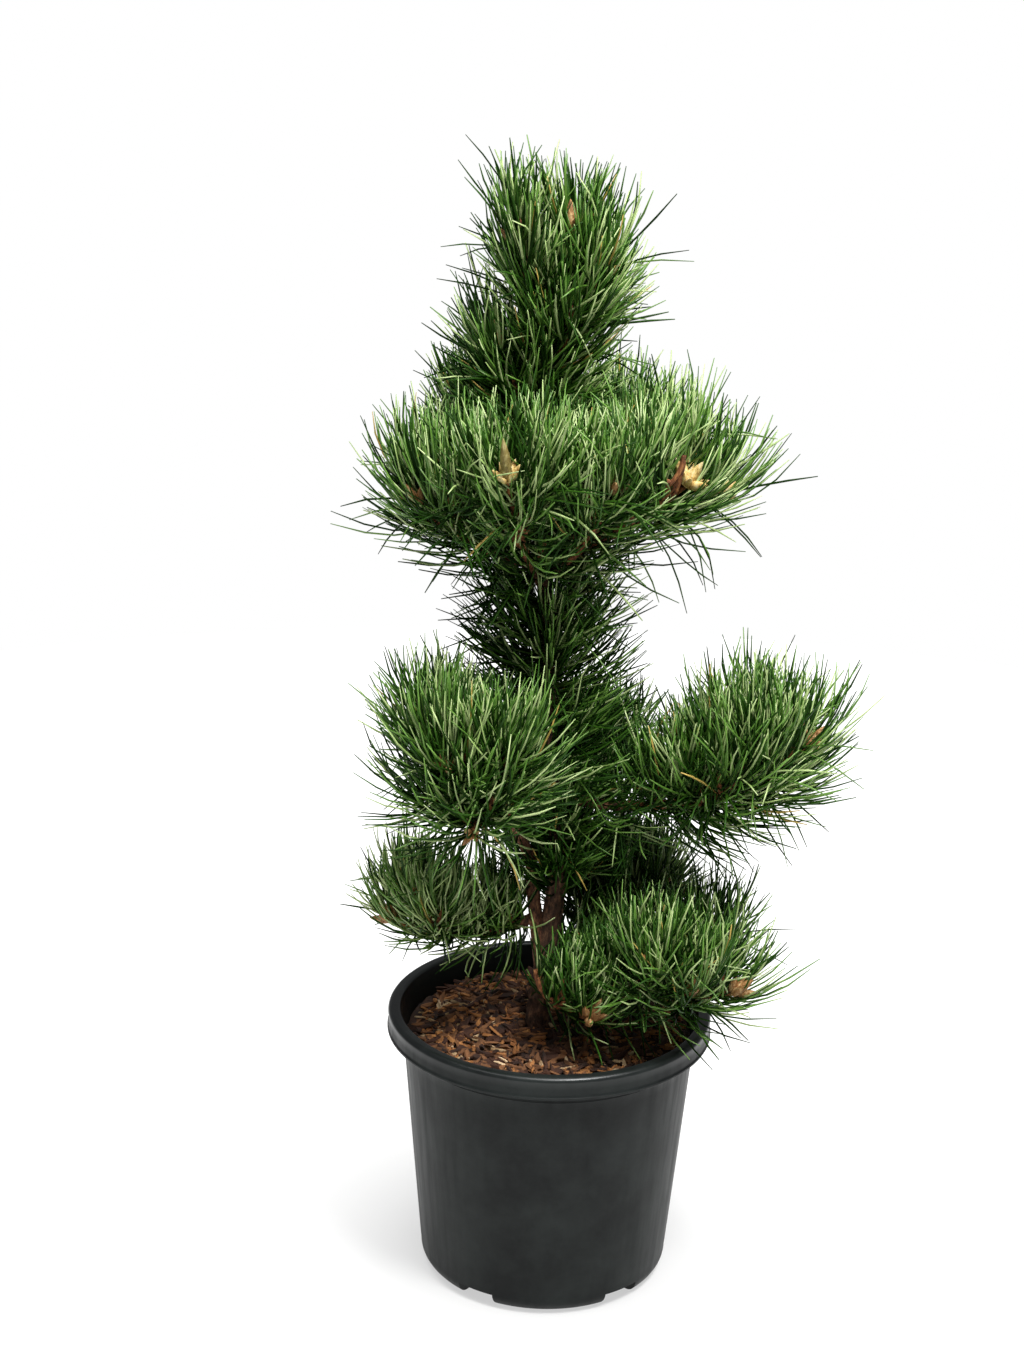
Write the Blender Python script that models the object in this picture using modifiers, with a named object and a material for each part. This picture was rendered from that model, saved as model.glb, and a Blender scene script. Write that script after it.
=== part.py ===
"""A young 'Oregon Green' Austrian pine in a three litre nursery pot.

The trunk stands on the root ball and runs whole up to the tip of the leader. Boughs leave
it in three tiers. Each bough ends where its needles begin, and the shoots of that needle
mass grow on from the bough's own line. Needles that sit on the trunk itself stand out of a
thin sleeve round it. Lengths are metres, +Z is up, -Y is the front, and the origin is the
middle of the pot's underside.
"""

import itertools
import math
import random

import bmesh
import bpy
import numpy as np
from mathutils import Matrix, Vector

# Gap that touching pieces keep between their faces, how close points are welded, and how far
# towards a face's middle the point goes that parts an edge shared by four faces
GAP = 0.0003
WELD = 0.00001
UNION_WELD = 0.000003
PARTING = 0.2
SHARP_DEG = 40.0
UP = np.array([0.0, 0.0, 1.0])

# Nursery pot: a thin moulded wall with a rolled rim, a raised floor and a notched foot ring
POT_STEPS = 40
RIM_RADIUS = 0.0950
RIM_TOP = 0.1636
SKIRT_FOOT = 0.1503
WALL = 0.0018
BODY_RADIUS_FOOT = 0.0728
BODY_FLARE = 0.0895
FOOT_ROUND = 0.0100
FLOOR_LIFT = 0.0100
FLOOR_WALL = 0.0020
PAD_RADIUS = 0.0376
PAD_SLOPE = 0.0036
FOOT_RING_INNER = 0.0590
NOTCH_COUNT = 5
NOTCH_FIRST_DEG = 21.0
NOTCH_WIDTH = 0.0235
NOTCH_HEIGHT = 0.0090
DRAIN_COUNT = 8
DRAIN_FIRST_DEG = 20.0
DRAIN_RADIUS = 0.0040
DRAIN_CIRCLE = 0.0505
DRAIN_SIDES = 10

# Root ball and the bark mulch spread on it
SOIL_TOP = 0.1430
MULCH_EDGE_TOP = 0.1500
MULCH_CROWN = 0.0030
MULCH_LUMP = 0.0016
MULCH_HOLE = 0.0108
MULCH_SECTORS = 40
MULCH_RINGS = 6
MULCH_SEED = 11

# Trunk: height above the pot's underside, sideways place and radius of its sections
TRUNK_SECTIONS = (
    (SOIL_TOP + GAP, -0.0070, 0.0084),
    (0.1620, -0.0065, 0.0066),
    (0.2050, -0.0020, 0.0060),
    (0.2550, 0.0030, 0.0054),
    (0.3000, -0.0030, 0.0044),
    (0.3500, -0.0050, 0.0034),
    (0.4000, -0.0080, 0.0031),
    (0.4400, -0.0120, 0.0029),
    (0.5350, -0.0130, 0.0024),
    (0.5950, 0.0010, 0.0018),
    (0.6100, 0.0000, 0.0015),
)
TRUNK_PIECES = 3
TRUNK_RESOLUTION = 4
ROOT_LOBES = 3
ROOT_LOBE_DEPTH = 0.20
ROOT_FLARE_HEIGHT = 0.016

# Boughs. height: where the limb leaves the trunk. bud: tip of its main shoot. dip: how far
# the limb sags before it turns up. bare: share of its length that is limb without needles.
# radius: at the trunk. sides: lengths of its side shoots. needle: length of a needle.
# tips: where shoots that fork from its main shoot end.
BOUGHS = {
    "low_front": dict(height=0.178, bud=(0.022, -0.052, 0.181), dip=0.004, bare=0.30,
                      radius=0.0022, sides=(0.024, 0.020), needle=0.036),
    "low_right": dict(height=0.192, bud=(0.103, -0.048, 0.197), dip=0.010, bare=0.24,
                      radius=0.0038, sides=(0.050, 0.046, 0.032), needle=0.050),
    "low_back": dict(height=0.203, bud=(0.058, 0.060, 0.210), dip=0.004, bare=0.30,
                     radius=0.0032, sides=(0.040, 0.034), needle=0.044),
    "low_left": dict(height=0.2200, bud=(-0.0925, -0.0125, 0.222), dip=0.010, bare=0.32,
                     radius=0.0032, sides=(0.038, 0.032), needle=0.038),
    "mid_left": dict(height=0.182, bud=(-0.0600, -0.0825, 0.3415), dip=0.000, bare=0.56,
                     radius=0.0046, sides=(0.044, 0.042, 0.036), needle=0.052,
                     tips=((-0.046, -0.090, 0.306),)),
    "mid_right": dict(height=0.297, bud=(0.142, 0.000, 0.328), dip=0.020, bare=0.26,
                      radius=0.0036, sides=(0.052, 0.052, 0.038), needle=0.056,
                      tips=((0.094, -0.012, 0.332),)),
    "mid_back": dict(height=0.290, bud=(0.014, 0.078, 0.294), dip=0.008, bare=0.30,
                     radius=0.0032, sides=(0.038, 0.034), needle=0.046),
    "top_left": dict(height=0.4310, bud=(-0.080, -0.028, 0.472), dip=0.006, bare=0.26,
                     radius=0.0028, sides=(0.042, 0.038), needle=0.054),
    "top_front": dict(height=0.4200, bud=(-0.0315, -0.066, 0.496), dip=0.010, bare=0.26,
                      radius=0.0028, sides=(0.042, 0.038), needle=0.052),
    "top_middle": dict(height=0.4265, bud=(0.026, -0.052, 0.488), dip=0.010, bare=0.26,
                       radius=0.0024, sides=(0.036, 0.032), needle=0.052),
    "top_right": dict(height=0.4330, bud=(0.066, -0.016, 0.484), dip=0.006, bare=0.26,
                      radius=0.0030, sides=(0.046, 0.042, 0.034), needle=0.056,
                      tips=((0.086, 0.008, 0.472),)),
    "top_back": dict(height=0.4390, bud=(0.022, 0.070, 0.488), dip=0.008, bare=0.28,
                     radius=0.0028, sides=(0.042, 0.038), needle=0.050),
    "top_rear_left": dict(height=0.4450, bud=(-0.046, 0.042, 0.502), dip=0.006, bare=0.28,
                          radius=0.0026, sides=(0.036, 0.030), needle=0.050),
}

# The bough whose lower stretch rises beside the trunk as a stem of its own, the points that
# its line passes, the share of the line that the stem takes, and the bough that the stem bears
FORKED = "mid_left"
FORK_LINE = ((-0.0115, -0.0010, 0.2350), (-0.0150, -0.0060, 0.2620), (-0.0330, -0.0400, 0.3060))
FORK_SHARE = 0.4125
ON_STEM = "low_left"
LINE_POINTS = 41
LIMB_POINTS = 6
LIMB_LEAD = 0.008
LIMB_RESOLUTION = 1

# Stretches of the trunk that carry needles: foot and top height of the sleeve
SLEEVES = {
    "column": dict(foot=0.308, top=0.412, needle=0.059, spurs=()),
    "leader": dict(foot=0.470, top=0.6150, needle=0.054,
                   spurs=((-0.030, -0.006, 0.611), (-0.038, 0.004, 0.552), (0.016, -0.004, 0.594))),
}
SLEEVE_WALL = 0.0013
SLEEVE_SLACK = 0.0002
SLEEVE_BAND = 0.0068
SLEEVE_SIDES = 6
SPUR_RISE = 0.044
SPUR_FOOT = 0.0018
SPUR_RADIUS = 0.0014

# Shoots: their points and radii, and how the side shoots leave the main one
SHOOT_POINTS = 7
SHOOT_TIP_RADIUS = 0.0013
SIDE_SHOOT_RADIUS = 0.0017
SIDE_ANGLE_DEG = 52.0
SIDE_LIFT = 0.45
SIDE_FIRST = 0.30
SIDE_STEP = 0.17
TIP_FORK = 0.18
SHOOT_CLEAR = 0.010
SHOOT_SEED = 40

# Needles: how they stand out of the slim core of a shoot and what they keep clear of. Leans:
# the angle to the stem at its foot and at its tip in degrees, and how late it changes.
NEEDLE_PITCH = 0.0051
CORE_TWIST_DEG = 47.0
CORE_SWELL = 1.25
SHOOT_END = 0.0050
NEEDLE_LEANS = {
    "trunk": (90.0, 80.0, 1.0),
    "top": (70.0, 44.0, 2.6),
    "main": (92.0, 32.0, 2.4),
    "side": (86.0, 34.0, 2.2),
}
TOP_GROWTH = (0.68, 0.90)
NEEDLE_LIFT = 0.06
NEEDLE_CURL = 0.60
HANGING = ("mid_left", "mid_right", "low_right")
HANGING_SHARE = 0.25
UNDER_LEAN = 0.28
UNDER_LIFT = 0.42
NEEDLE_VARIATION = (0.90, 1.08)
NEEDLE_LEAST_RISE = 0.30
NEEDLE_ROOT_FREE = 0.14
NEEDLE_SAMPLES = 9
NEEDLE_CLEAR = 0.0016
NEEDLE_SPACING = 0.0026
SPACE_MARGIN = 0.0036
NEEDLE_SEED = 700
RIM_CLEAR = 0.0020
MULCH_CLEAR = 0.0065

# Buds at the tips of the main shoots
BUD_RADIUS = 0.0032
BUD_LENGTH = 0.0145
BUD_SET = 0.53
SIDE_BUD_SPREAD = 0.80
SIDE_BUD_SCALE = 0.62
LEADER_BUD_SCALE = 1.15
BUD_TURN_DEG = 7.0

# Colour, roughness and metallic value of each material
FINISHES = {
    "needles": ((0.070, 0.160, 0.045, 1.0), 0.55, 0.0),
    "bark": ((0.130, 0.055, 0.028, 1.0), 0.90, 0.0),
    "pot_plastic": ((0.022, 0.025, 0.026, 1.0), 0.42, 0.0),
    "soil": ((0.040, 0.022, 0.012, 1.0), 0.95, 0.0),
    "bark_mulch": ((0.140, 0.062, 0.026, 1.0), 0.90, 0.0),
}


def clear_scene():
    """Remove the scene's objects, whatever file the script is run in."""
    for item in list(bpy.data.objects):
        bpy.data.objects.remove(item, do_unlink=True)


def make_materials():
    """One Principled material for each finish."""
    made = {}
    for name, (colour, roughness, metallic) in FINISHES.items():
        material = bpy.data.materials.new(name)
        material.use_nodes = True
        shader = material.node_tree.nodes["Principled BSDF"]
        shader.inputs["Base Color"].default_value = colour
        shader.inputs["Roughness"].default_value = roughness
        shader.inputs["Metallic"].default_value = metallic
        material.diffuse_color = colour
        made[name] = material
    return made


def new_object(name, data, collection):
    """Link a new object to a collection."""
    item = bpy.data.objects.new(name, data)
    collection.objects.link(item)
    return item


def evaluated_mesh(item):
    """A plain mesh of an object with its modifiers applied."""
    bpy.context.view_layer.update()
    graph = bpy.context.evaluated_depsgraph_get()
    return bpy.data.meshes.new_from_object(item.evaluated_get(graph))


def smooth_line(rows, pieces):
    """Catmull-Rom line through rows of numbers, each span cut into the same number of pieces."""
    rows = np.array(rows, dtype=float)
    padded = np.vstack([2 * rows[0] - rows[1], rows, 2 * rows[-1] - rows[-2]])
    t = np.linspace(0.0, 1.0, pieces, endpoint=False)[:, None]
    spans = []
    for i in range(len(rows) - 1):
        a, b, c, d = padded[i:i + 4]
        spans.append(0.5 * (2 * b + (c - a) * t + (2 * a - 5 * b + 4 * c - d) * t ** 2
                            + (3 * b - a - 3 * c + d) * t ** 3))
    return np.vstack(spans + [rows[-1:]])


def bent_line(start, control, end, count):
    """Quadratic Bezier line from start to end, drawn towards its control point."""
    t = np.linspace(0.0, 1.0, count)[:, None]
    return (1 - t) ** 2 * start + 2 * t * (1 - t) * control + t ** 2 * end


def line_shares(line):
    """Share of the whole length reached at each point of a line."""
    steps = np.linalg.norm(np.diff(line, axis=0), axis=1)
    run = np.concatenate([[0.0], np.cumsum(steps)])
    return run / run[-1]


def point_at(line, share):
    """Point of a line at a share of its length."""
    shares = line_shares(line)
    return np.array([np.interp(share, shares, line[:, k]) for k in range(3)])


def direction_at(line, share):
    """Unit direction of a line at a share of its length."""
    reach = 0.02
    ahead = point_at(line, min(1.0, share + reach))
    behind = point_at(line, max(0.0, share - reach))
    return (ahead - behind) / np.linalg.norm(ahead - behind)


def line_length(line):
    """Length of a line."""
    return float(np.linalg.norm(np.diff(line, axis=0), axis=1).sum())


def sub_line(line, first, last, count):
    """The stretch of a line between two shares of its length."""
    return np.array([point_at(line, share) for share in np.linspace(first, last, count)])


def weld(mesh, reach):
    """Make points closer than a reach into one."""
    work = bmesh.new()
    work.from_mesh(mesh)
    bmesh.ops.remove_doubles(work, verts=work.verts, dist=reach)
    work.to_mesh(mesh)
    work.free()


def edge_start(face, edge):
    """The point from which a face runs along one of its edges."""
    return next(loop.vert for loop in face.loops if loop.edge == edge)


def flatness(pair, edge):
    """How flat two faces lie that meet at an edge, or -1 for faces that run the same way along it."""
    first, second = pair
    if edge_start(first, edge) == edge_start(second, edge):
        return -1.0
    return first.normal.dot(second.normal)


def part_shared_edges(work):
    """Where four triangles share one edge, the flattest two meet at a new point beside it."""
    for edge in [edge for edge in work.edges if len(edge.link_faces) > 2]:
        pairs = itertools.combinations(list(edge.link_faces), 2)
        pair = max(pairs, key=lambda pair: flatness(pair, edge))
        larger = max(pair, key=lambda face: face.calc_area())
        middle = (edge.verts[0].co + edge.verts[1].co) / 2
        centre = work.verts.new(middle.lerp(larger.calc_center_median(), PARTING))
        rims = [(loop.vert, loop.link_loop_next.vert)
                for face in pair for loop in face.loops if loop.edge != edge]
        for face in pair:
            work.faces.remove(face)
        for a, b in rims:
            work.faces.new((a, b, centre)).normal_update()


def drop_slivers(mesh, reach):
    """Make a mesh triangles and close up those that are thinner than a reach."""
    work = bmesh.new()
    work.from_mesh(mesh)
    bmesh.ops.triangulate(work, faces=work.faces)
    part_shared_edges(work)
    bmesh.ops.dissolve_degenerate(work, edges=work.edges, dist=reach)
    part_shared_edges(work)
    work.to_mesh(mesh)
    work.free()


def shell_volume(faces):
    """Signed volume inside a shell of triangles. A sealed hollow's is negative."""
    corners = [[loop.vert.co for loop in face.loops] for face in faces]
    return sum(a.dot(b.cross(c)) for a, b, c in corners) / 6


def keep_outer_shell(mesh):
    """Fill a body's sealed hollows and drop loose scraps: only its largest shell stays."""
    work = bmesh.new()
    work.from_mesh(mesh)
    bmesh.ops.triangulate(work, faces=work.faces)
    shells = []
    left = set(work.faces)
    while left:
        shell = {left.pop()}
        front = list(shell)
        while front:
            face = front.pop()
            near = {other for edge in face.edges for other in edge.link_faces} & left
            left -= near
            shell |= near
            front.extend(near)
        shells.append(list(shell))
    shells.sort(key=shell_volume)
    spare = [face for shell in shells[:-1] for face in shell]
    bmesh.ops.delete(work, geom=spare, context="FACES")
    work.to_mesh(mesh)
    work.free()


def tapered_tube(name, line, radii, resolution, collection):
    """Mesh tube along a line, with a radius for each point, made from a bevelled curve."""
    data = bpy.data.curves.new(name, "CURVE")
    data.dimensions = "3D"
    data.bevel_depth = 1.0
    data.bevel_resolution = resolution
    data.use_fill_caps = True
    spline = data.splines.new("POLY")
    spline.points.add(len(line) - 1)
    for point, place, radius in zip(spline.points, line, radii):
        point.co = (*place, 1.0)
        point.radius = radius
    curve = new_object(name + "_line", data, collection)
    mesh = evaluated_mesh(curve)
    weld(mesh, WELD)
    bpy.data.objects.remove(curve)
    bpy.data.curves.remove(data)
    return new_object(name, mesh, collection)


def finish_node(item, name, material):
    """Give a node its name and material and shade its round faces smooth."""
    item.name = name
    item.data.name = name
    item.data.materials.clear()
    item.data.materials.append(material)
    item.data.shade_smooth()
    item.data.set_sharp_from_angle(angle=math.radians(SHARP_DEG))
    return item


def fuse(name, pieces, collection):
    """Join overlapping solids into one body by a single union. A lone solid stays as it is."""
    if len(pieces) == 1:
        return pieces[0]
    group = bpy.data.collections.new(name + "_pieces")
    bpy.context.scene.collection.children.link(group)
    for piece in pieces[1:]:
        collection.objects.unlink(piece)
        group.objects.link(piece)
    union = pieces[0].modifiers.new("union", "BOOLEAN")
    union.operation = "UNION"
    union.operand_type = "COLLECTION"
    union.collection = group
    union.solver = "MANIFOLD"
    mesh = evaluated_mesh(pieces[0])
    weld(mesh, UNION_WELD)
    drop_slivers(mesh, UNION_WELD)
    keep_outer_shell(mesh)
    for piece in pieces:
        data = piece.data
        bpy.data.objects.remove(piece)
        bpy.data.meshes.remove(data)
    bpy.data.collections.remove(group)
    return new_object(name, mesh, collection)


def turned(name, profile, collection):
    """Solid turned about the upright axis from a profile that runs down its outer side."""
    data = bpy.data.meshes.new(name)
    points = [(radius, 0.0, height) for radius, height in profile]
    edges = [(i, i + 1) for i in range(len(points) - 1)]
    data.from_pydata(points, edges, [])
    item = new_object(name, data, collection)
    screw = item.modifiers.new("turn", "SCREW")
    screw.axis = "Z"
    screw.angle = 2 * math.pi
    screw.steps = POT_STEPS
    screw.render_steps = POT_STEPS
    screw.use_merge_vertices = True
    screw.merge_threshold = WELD
    screw.use_normal_calculate = False
    return item


def body_radius(height):
    """Outer radius of the pot's wall at a height."""
    return BODY_RADIUS_FOOT + BODY_FLARE * height


def foot_arc(count):
    """Points of the round edge between the pot's wall and its foot ring."""
    centre = body_radius(FOOT_ROUND) - FOOT_ROUND
    angles = np.radians(np.linspace(5.0, -88.0, count))
    return [(centre + FOOT_ROUND * math.cos(a), FOOT_ROUND + FOOT_ROUND * math.sin(a)) for a in angles]


def pot_profile():
    """Half section of the pot, from the floor's middle up inside, over the rim and down outside."""
    lift = FLOOR_LIFT
    floor = FLOOR_WALL
    inner_foot = body_radius(lift + floor) - WALL
    slope_top = PAD_RADIUS + PAD_SLOPE
    inside = [
        (0.0, floor),
        (PAD_RADIUS - 0.0016, floor),
        (slope_top - 0.0016, lift + floor),
        (inner_foot - 0.0016, lift + floor),
        (inner_foot + 0.0002, lift + floor + 0.0018),
        (body_radius(SKIRT_FOOT) - WALL, SKIRT_FOOT),
        (RIM_RADIUS - 0.0086, SKIRT_FOOT + 0.0077),
    ]
    rim = [
        (RIM_RADIUS - 0.0074, RIM_TOP - 0.0020),
        (RIM_RADIUS - 0.0056, RIM_TOP - 0.0003),
        (RIM_RADIUS - 0.0035, RIM_TOP),
        (RIM_RADIUS - 0.0014, RIM_TOP - 0.0006),
        (RIM_RADIUS - 0.0002, RIM_TOP - 0.0026),
        (RIM_RADIUS, SKIRT_FOOT + 0.0011),
        (RIM_RADIUS - 0.0008, SKIRT_FOOT),
        (RIM_RADIUS - 0.0018, SKIRT_FOOT + 0.0006),
        (RIM_RADIUS - 0.0020, RIM_TOP - 0.0040),
        (RIM_RADIUS - 0.0040, RIM_TOP - 0.0022),
        (RIM_RADIUS - 0.0058, RIM_TOP - 0.0032),
        (RIM_RADIUS - 0.0068, SKIRT_FOOT + 0.0072),
        (body_radius(SKIRT_FOOT), SKIRT_FOOT),
    ]
    foot = foot_arc(5) + [
        (FOOT_RING_INNER + 0.0006, 0.0),
        (FOOT_RING_INNER, lift),
        (slope_top, lift),
        (PAD_RADIUS, 0.0),
        (0.0, 0.0),
    ]
    return inside + rim + foot


def pot_cutters(cutters):
    """One mesh of the notches in the foot ring and the drain holes in the raised floor."""
    work = bmesh.new()
    notch_inner = FOOT_RING_INNER - 0.003
    notch_outer = BODY_RADIUS_FOOT + 0.006
    for i in range(NOTCH_COUNT):
        angle = math.radians(NOTCH_FIRST_DEG + i * 360.0 / NOTCH_COUNT)
        made = bmesh.ops.create_cube(work, size=1.0)["verts"]
        bmesh.ops.scale(work, verts=made, vec=(notch_outer - notch_inner, NOTCH_WIDTH, 2 * NOTCH_HEIGHT))
        bmesh.ops.translate(work, verts=made, vec=((notch_inner + notch_outer) / 2, 0.0, 0.0))
        bmesh.ops.rotate(work, verts=made, matrix=Matrix.Rotation(angle, 3, "Z"))
    for i in range(DRAIN_COUNT):
        angle = math.radians(DRAIN_FIRST_DEG + i * 360.0 / DRAIN_COUNT)
        made = bmesh.ops.create_cone(
            work, cap_ends=True, segments=DRAIN_SIDES, radius1=DRAIN_RADIUS, radius2=DRAIN_RADIUS,
            depth=2 * FLOOR_LIFT)["verts"]
        place = (DRAIN_CIRCLE * math.cos(angle), DRAIN_CIRCLE * math.sin(angle), FLOOR_LIFT + 0.001)
        bmesh.ops.translate(work, verts=made, vec=place)
    data = bpy.data.meshes.new("foot_cutters")
    work.to_mesh(data)
    work.free()
    item = new_object("foot_cutters", data, cutters)
    item.hide_render = True
    item.display_type = "WIRE"
    return item


def make_pot(parts, cutters, material):
    """The nursery pot: turned shell, then notches and drain holes cut in its foot."""
    pot = turned("pot", pot_profile(), parts)
    cut = pot.modifiers.new("foot cuts", "BOOLEAN")
    cut.operation = "DIFFERENCE"
    cut.object = pot_cutters(cutters)
    cut.solver = "EXACT"
    return finish_node(pot, "pot", material)


def make_root_ball(parts, material):
    """The soil block, which fills the pot up to the foot of the trunk."""
    top_radius = body_radius(SOIL_TOP) - WALL - 2 * GAP
    wall_foot = FLOOR_LIFT + FLOOR_WALL + 0.0022
    floor = FLOOR_LIFT + FLOOR_WALL + GAP
    slope_top = PAD_RADIUS + PAD_SLOPE - 0.0016 - GAP
    profile = [
        (0.0, SOIL_TOP),
        (top_radius, SOIL_TOP),
        (body_radius(wall_foot) - WALL - 2 * GAP, wall_foot),
        (body_radius(wall_foot) - WALL - 0.0024, floor),
        (slope_top, floor),
        (PAD_RADIUS - 0.0016 - GAP, FLOOR_WALL + GAP),
        (0.0, FLOOR_WALL + GAP),
    ]
    return finish_node(turned("root_ball", profile, parts), "root_ball", material)


def make_mulch(parts, material):
    """The bark mulch: a lumpy ring between the pot's wall and the foot of the trunk."""
    random_lumps = random.Random(MULCH_SEED)
    foot_z = SOIL_TOP + GAP
    angles = [2 * math.pi * i / MULCH_SECTORS for i in range(MULCH_SECTORS)]
    shares = [i / (MULCH_RINGS - 1) for i in range(MULCH_RINGS)]

    def place(angle, share, height):
        wall_radius = body_radius(height) - WALL - 2 * GAP
        centre_x = TRUNK_SECTIONS[0][1] * (1 - share)
        radius = MULCH_HOLE * (1 - share) + wall_radius * share
        return (centre_x + radius * math.cos(angle), radius * math.sin(angle), height)

    rows = []
    for share in shares:
        crown = MULCH_CROWN * math.sin(math.pi * min(1.0, share + 0.25))
        lumps = [random_lumps.uniform(-MULCH_LUMP, MULCH_LUMP) for _ in angles]
        rows.append([place(a, share, MULCH_EDGE_TOP + crown + lump) for a, lump in zip(angles, lumps)])
    rows.append([place(a, 1.0, foot_z) for a in angles])
    rows.append([place(a, 0.0, foot_z) for a in angles])
    points = [point for row in rows for point in row]
    count = len(angles)
    faces = []
    for r in range(len(rows)):
        here = r * count
        after = ((r + 1) % len(rows)) * count
        for i in range(count):
            k = (i + 1) % count
            faces.append((here + i, after + i, after + k, here + k))
    data = bpy.data.meshes.new("bark_mulch")
    data.from_pydata(points, [], faces)
    return finish_node(new_object("bark_mulch", data, parts), "bark_mulch", material)


def trunk_rows():
    """Points and radii along the trunk's middle line."""
    rows = [(side, 0.0, height, radius) for height, side, radius in TRUNK_SECTIONS]
    return smooth_line(rows, TRUNK_PIECES)


def trunk_at(height):
    """Middle point and radius of the trunk at a height."""
    rows = trunk_rows()
    place = np.array([np.interp(height, rows[:, 2], rows[:, 0]), 0.0, height])
    return place, float(np.interp(height, rows[:, 2], rows[:, 3]))


def make_trunk(parts, grow=0.0):
    """The trunk as one tapering limb whose foot spreads in lobes. grow makes a wider copy."""
    rows = trunk_rows()
    trunk = tapered_tube("trunk", rows[:, :3], rows[:, 3] + grow, TRUNK_RESOLUTION, parts)
    centre_x = TRUNK_SECTIONS[0][1]
    foot_z = TRUNK_SECTIONS[0][0]
    for vertex in trunk.data.vertices:
        share = max(0.0, 1.0 - (vertex.co.z - foot_z) / ROOT_FLARE_HEIGHT)
        angle = math.atan2(vertex.co.y, vertex.co.x - centre_x)
        swell = 1.0 + ROOT_LOBE_DEPTH * share ** 2 * math.cos(ROOT_LOBES * angle)
        vertex.co.x = centre_x + (vertex.co.x - centre_x) * swell
        vertex.co.y = vertex.co.y * swell
    return trunk


def bough_line(name):
    """Middle line of a bough and its main shoot, from the middle of what bears it to the bud."""
    bough = BOUGHS[name]
    start = trunk_at(bough["height"])[0]
    bud = np.array(bough["bud"])
    if name == FORKED:
        line = smooth_line([start, *FORK_LINE, bud], 8)
    else:
        if name == ON_STEM:
            stem = bough_line(FORKED)
            start = np.array([np.interp(bough["height"], stem[:, 2], stem[:, k]) for k in range(3)])
        control = start + 0.55 * (bud - start) - np.array([0.0, 0.0, 2 * bough["dip"]])
        line = bent_line(start, control, bud, 24)
    return sub_line(line, 0.0, 1.0, LINE_POINTS)


def bough_radius(bough, share):
    """Radius of a bough or its main shoot at a share of its line."""
    return bough["radius"] * (1 - share) + SHOOT_TIP_RADIUS * share


def limb_spans(name, line):
    """Names and shares of the bare limbs of a bough: one, or a stem and a limb where it forks low."""
    gap = GAP / line_length(line)
    bare = BOUGHS[name]["bare"]
    if name == FORKED:
        return [("stem_left", 0.0, FORK_SHARE), ("bough_" + name, FORK_SHARE + gap, bare)]
    return [("bough_" + name, 0.0, bare)]


def limb_shares(first, last):
    """Shares of a bough's line that a limb's points take. Each end runs straight a short way."""
    inner = np.linspace(first, last, LIMB_POINTS)[1:-1]
    return np.concatenate([[first, first + LIMB_LEAD], inner, [last - LIMB_LEAD, last]])


def limb_tube(name, node, line, first, last, grow, collection):
    """One bare limb of a bough. grow makes a wider copy."""
    shares = limb_shares(first, last)
    points = [point_at(line, share) for share in shares]
    radii = [bough_radius(BOUGHS[name], share) + grow for share in shares]
    return tapered_tube(node, points, radii, LIMB_RESOLUTION, collection)


def make_limbs(name, line, bearer, parts, material):
    """The bare limbs of a bough. The lowest one is cut to the face of the limb that bears it."""
    for node, first, last in limb_spans(name, line):
        limb = limb_tube(name, node, line, first, last, 0.0, parts)
        if first == 0.0:
            cut = limb.modifiers.new("bearer's face", "BOOLEAN")
            cut.operation = "DIFFERENCE"
            cut.object = bearer
            cut.solver = "EXACT"
        finish_node(limb, node, material)


def side_shoot(main, share, length, side, rng):
    """Line of a side shoot: out from the main shoot to one side, then turning up."""
    start = point_at(main, share)
    along = direction_at(main, share)
    across = np.cross(along, UP)
    if np.linalg.norm(across) < 0.2:
        across = np.array([1.0, 0.0, 0.0])
    across = across / np.linalg.norm(across) * side
    angle = math.radians(SIDE_ANGLE_DEG + rng.uniform(-8.0, 8.0))
    outward = across + rng.uniform(-0.1, 0.5) * UP
    outward = outward / np.linalg.norm(outward)
    heading = math.cos(angle) * along + math.sin(angle) * outward
    turned_up = heading + SIDE_LIFT * UP
    end = start + length * turned_up / np.linalg.norm(turned_up)
    return bent_line(start, start + 0.5 * length * heading, end, SHOOT_POINTS)


def upright_shoot(foot, tip):
    """Line of a spur on the trunk that leaves it sideways and turns up to its tip."""
    control = foot + 0.45 * (tip - foot) + 0.25 * np.array([tip[0] - foot[0], tip[1] - foot[1], 0.0])
    return bent_line(foot, control, tip, SHOOT_POINTS)


def distances(points, line):
    """Distance of each point to the nearest place on a line."""
    a = line[:-1]
    ab = line[1:] - a
    ap = points[:, None, :] - a[None]
    t = np.clip((ap * ab).sum(2) / (ab ** 2).sum(1), 0.0, 1.0)
    return np.linalg.norm(ap - t[..., None] * ab, axis=2).min(1)


def clear_of_pot(points):
    """True where every point stands above the mulch and clear of the pot's rim."""
    radius = np.hypot(points[:, 0], points[:, 1])
    over_rim = (radius < RIM_RADIUS + RIM_CLEAR) & (points[:, 2] < RIM_TOP + RIM_CLEAR)
    over_mulch = (radius < RIM_RADIUS - 0.012) & (points[:, 2] > MULCH_EDGE_TOP + MULCH_CLEAR)
    return not np.any(over_rim & ~over_mulch)


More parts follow.
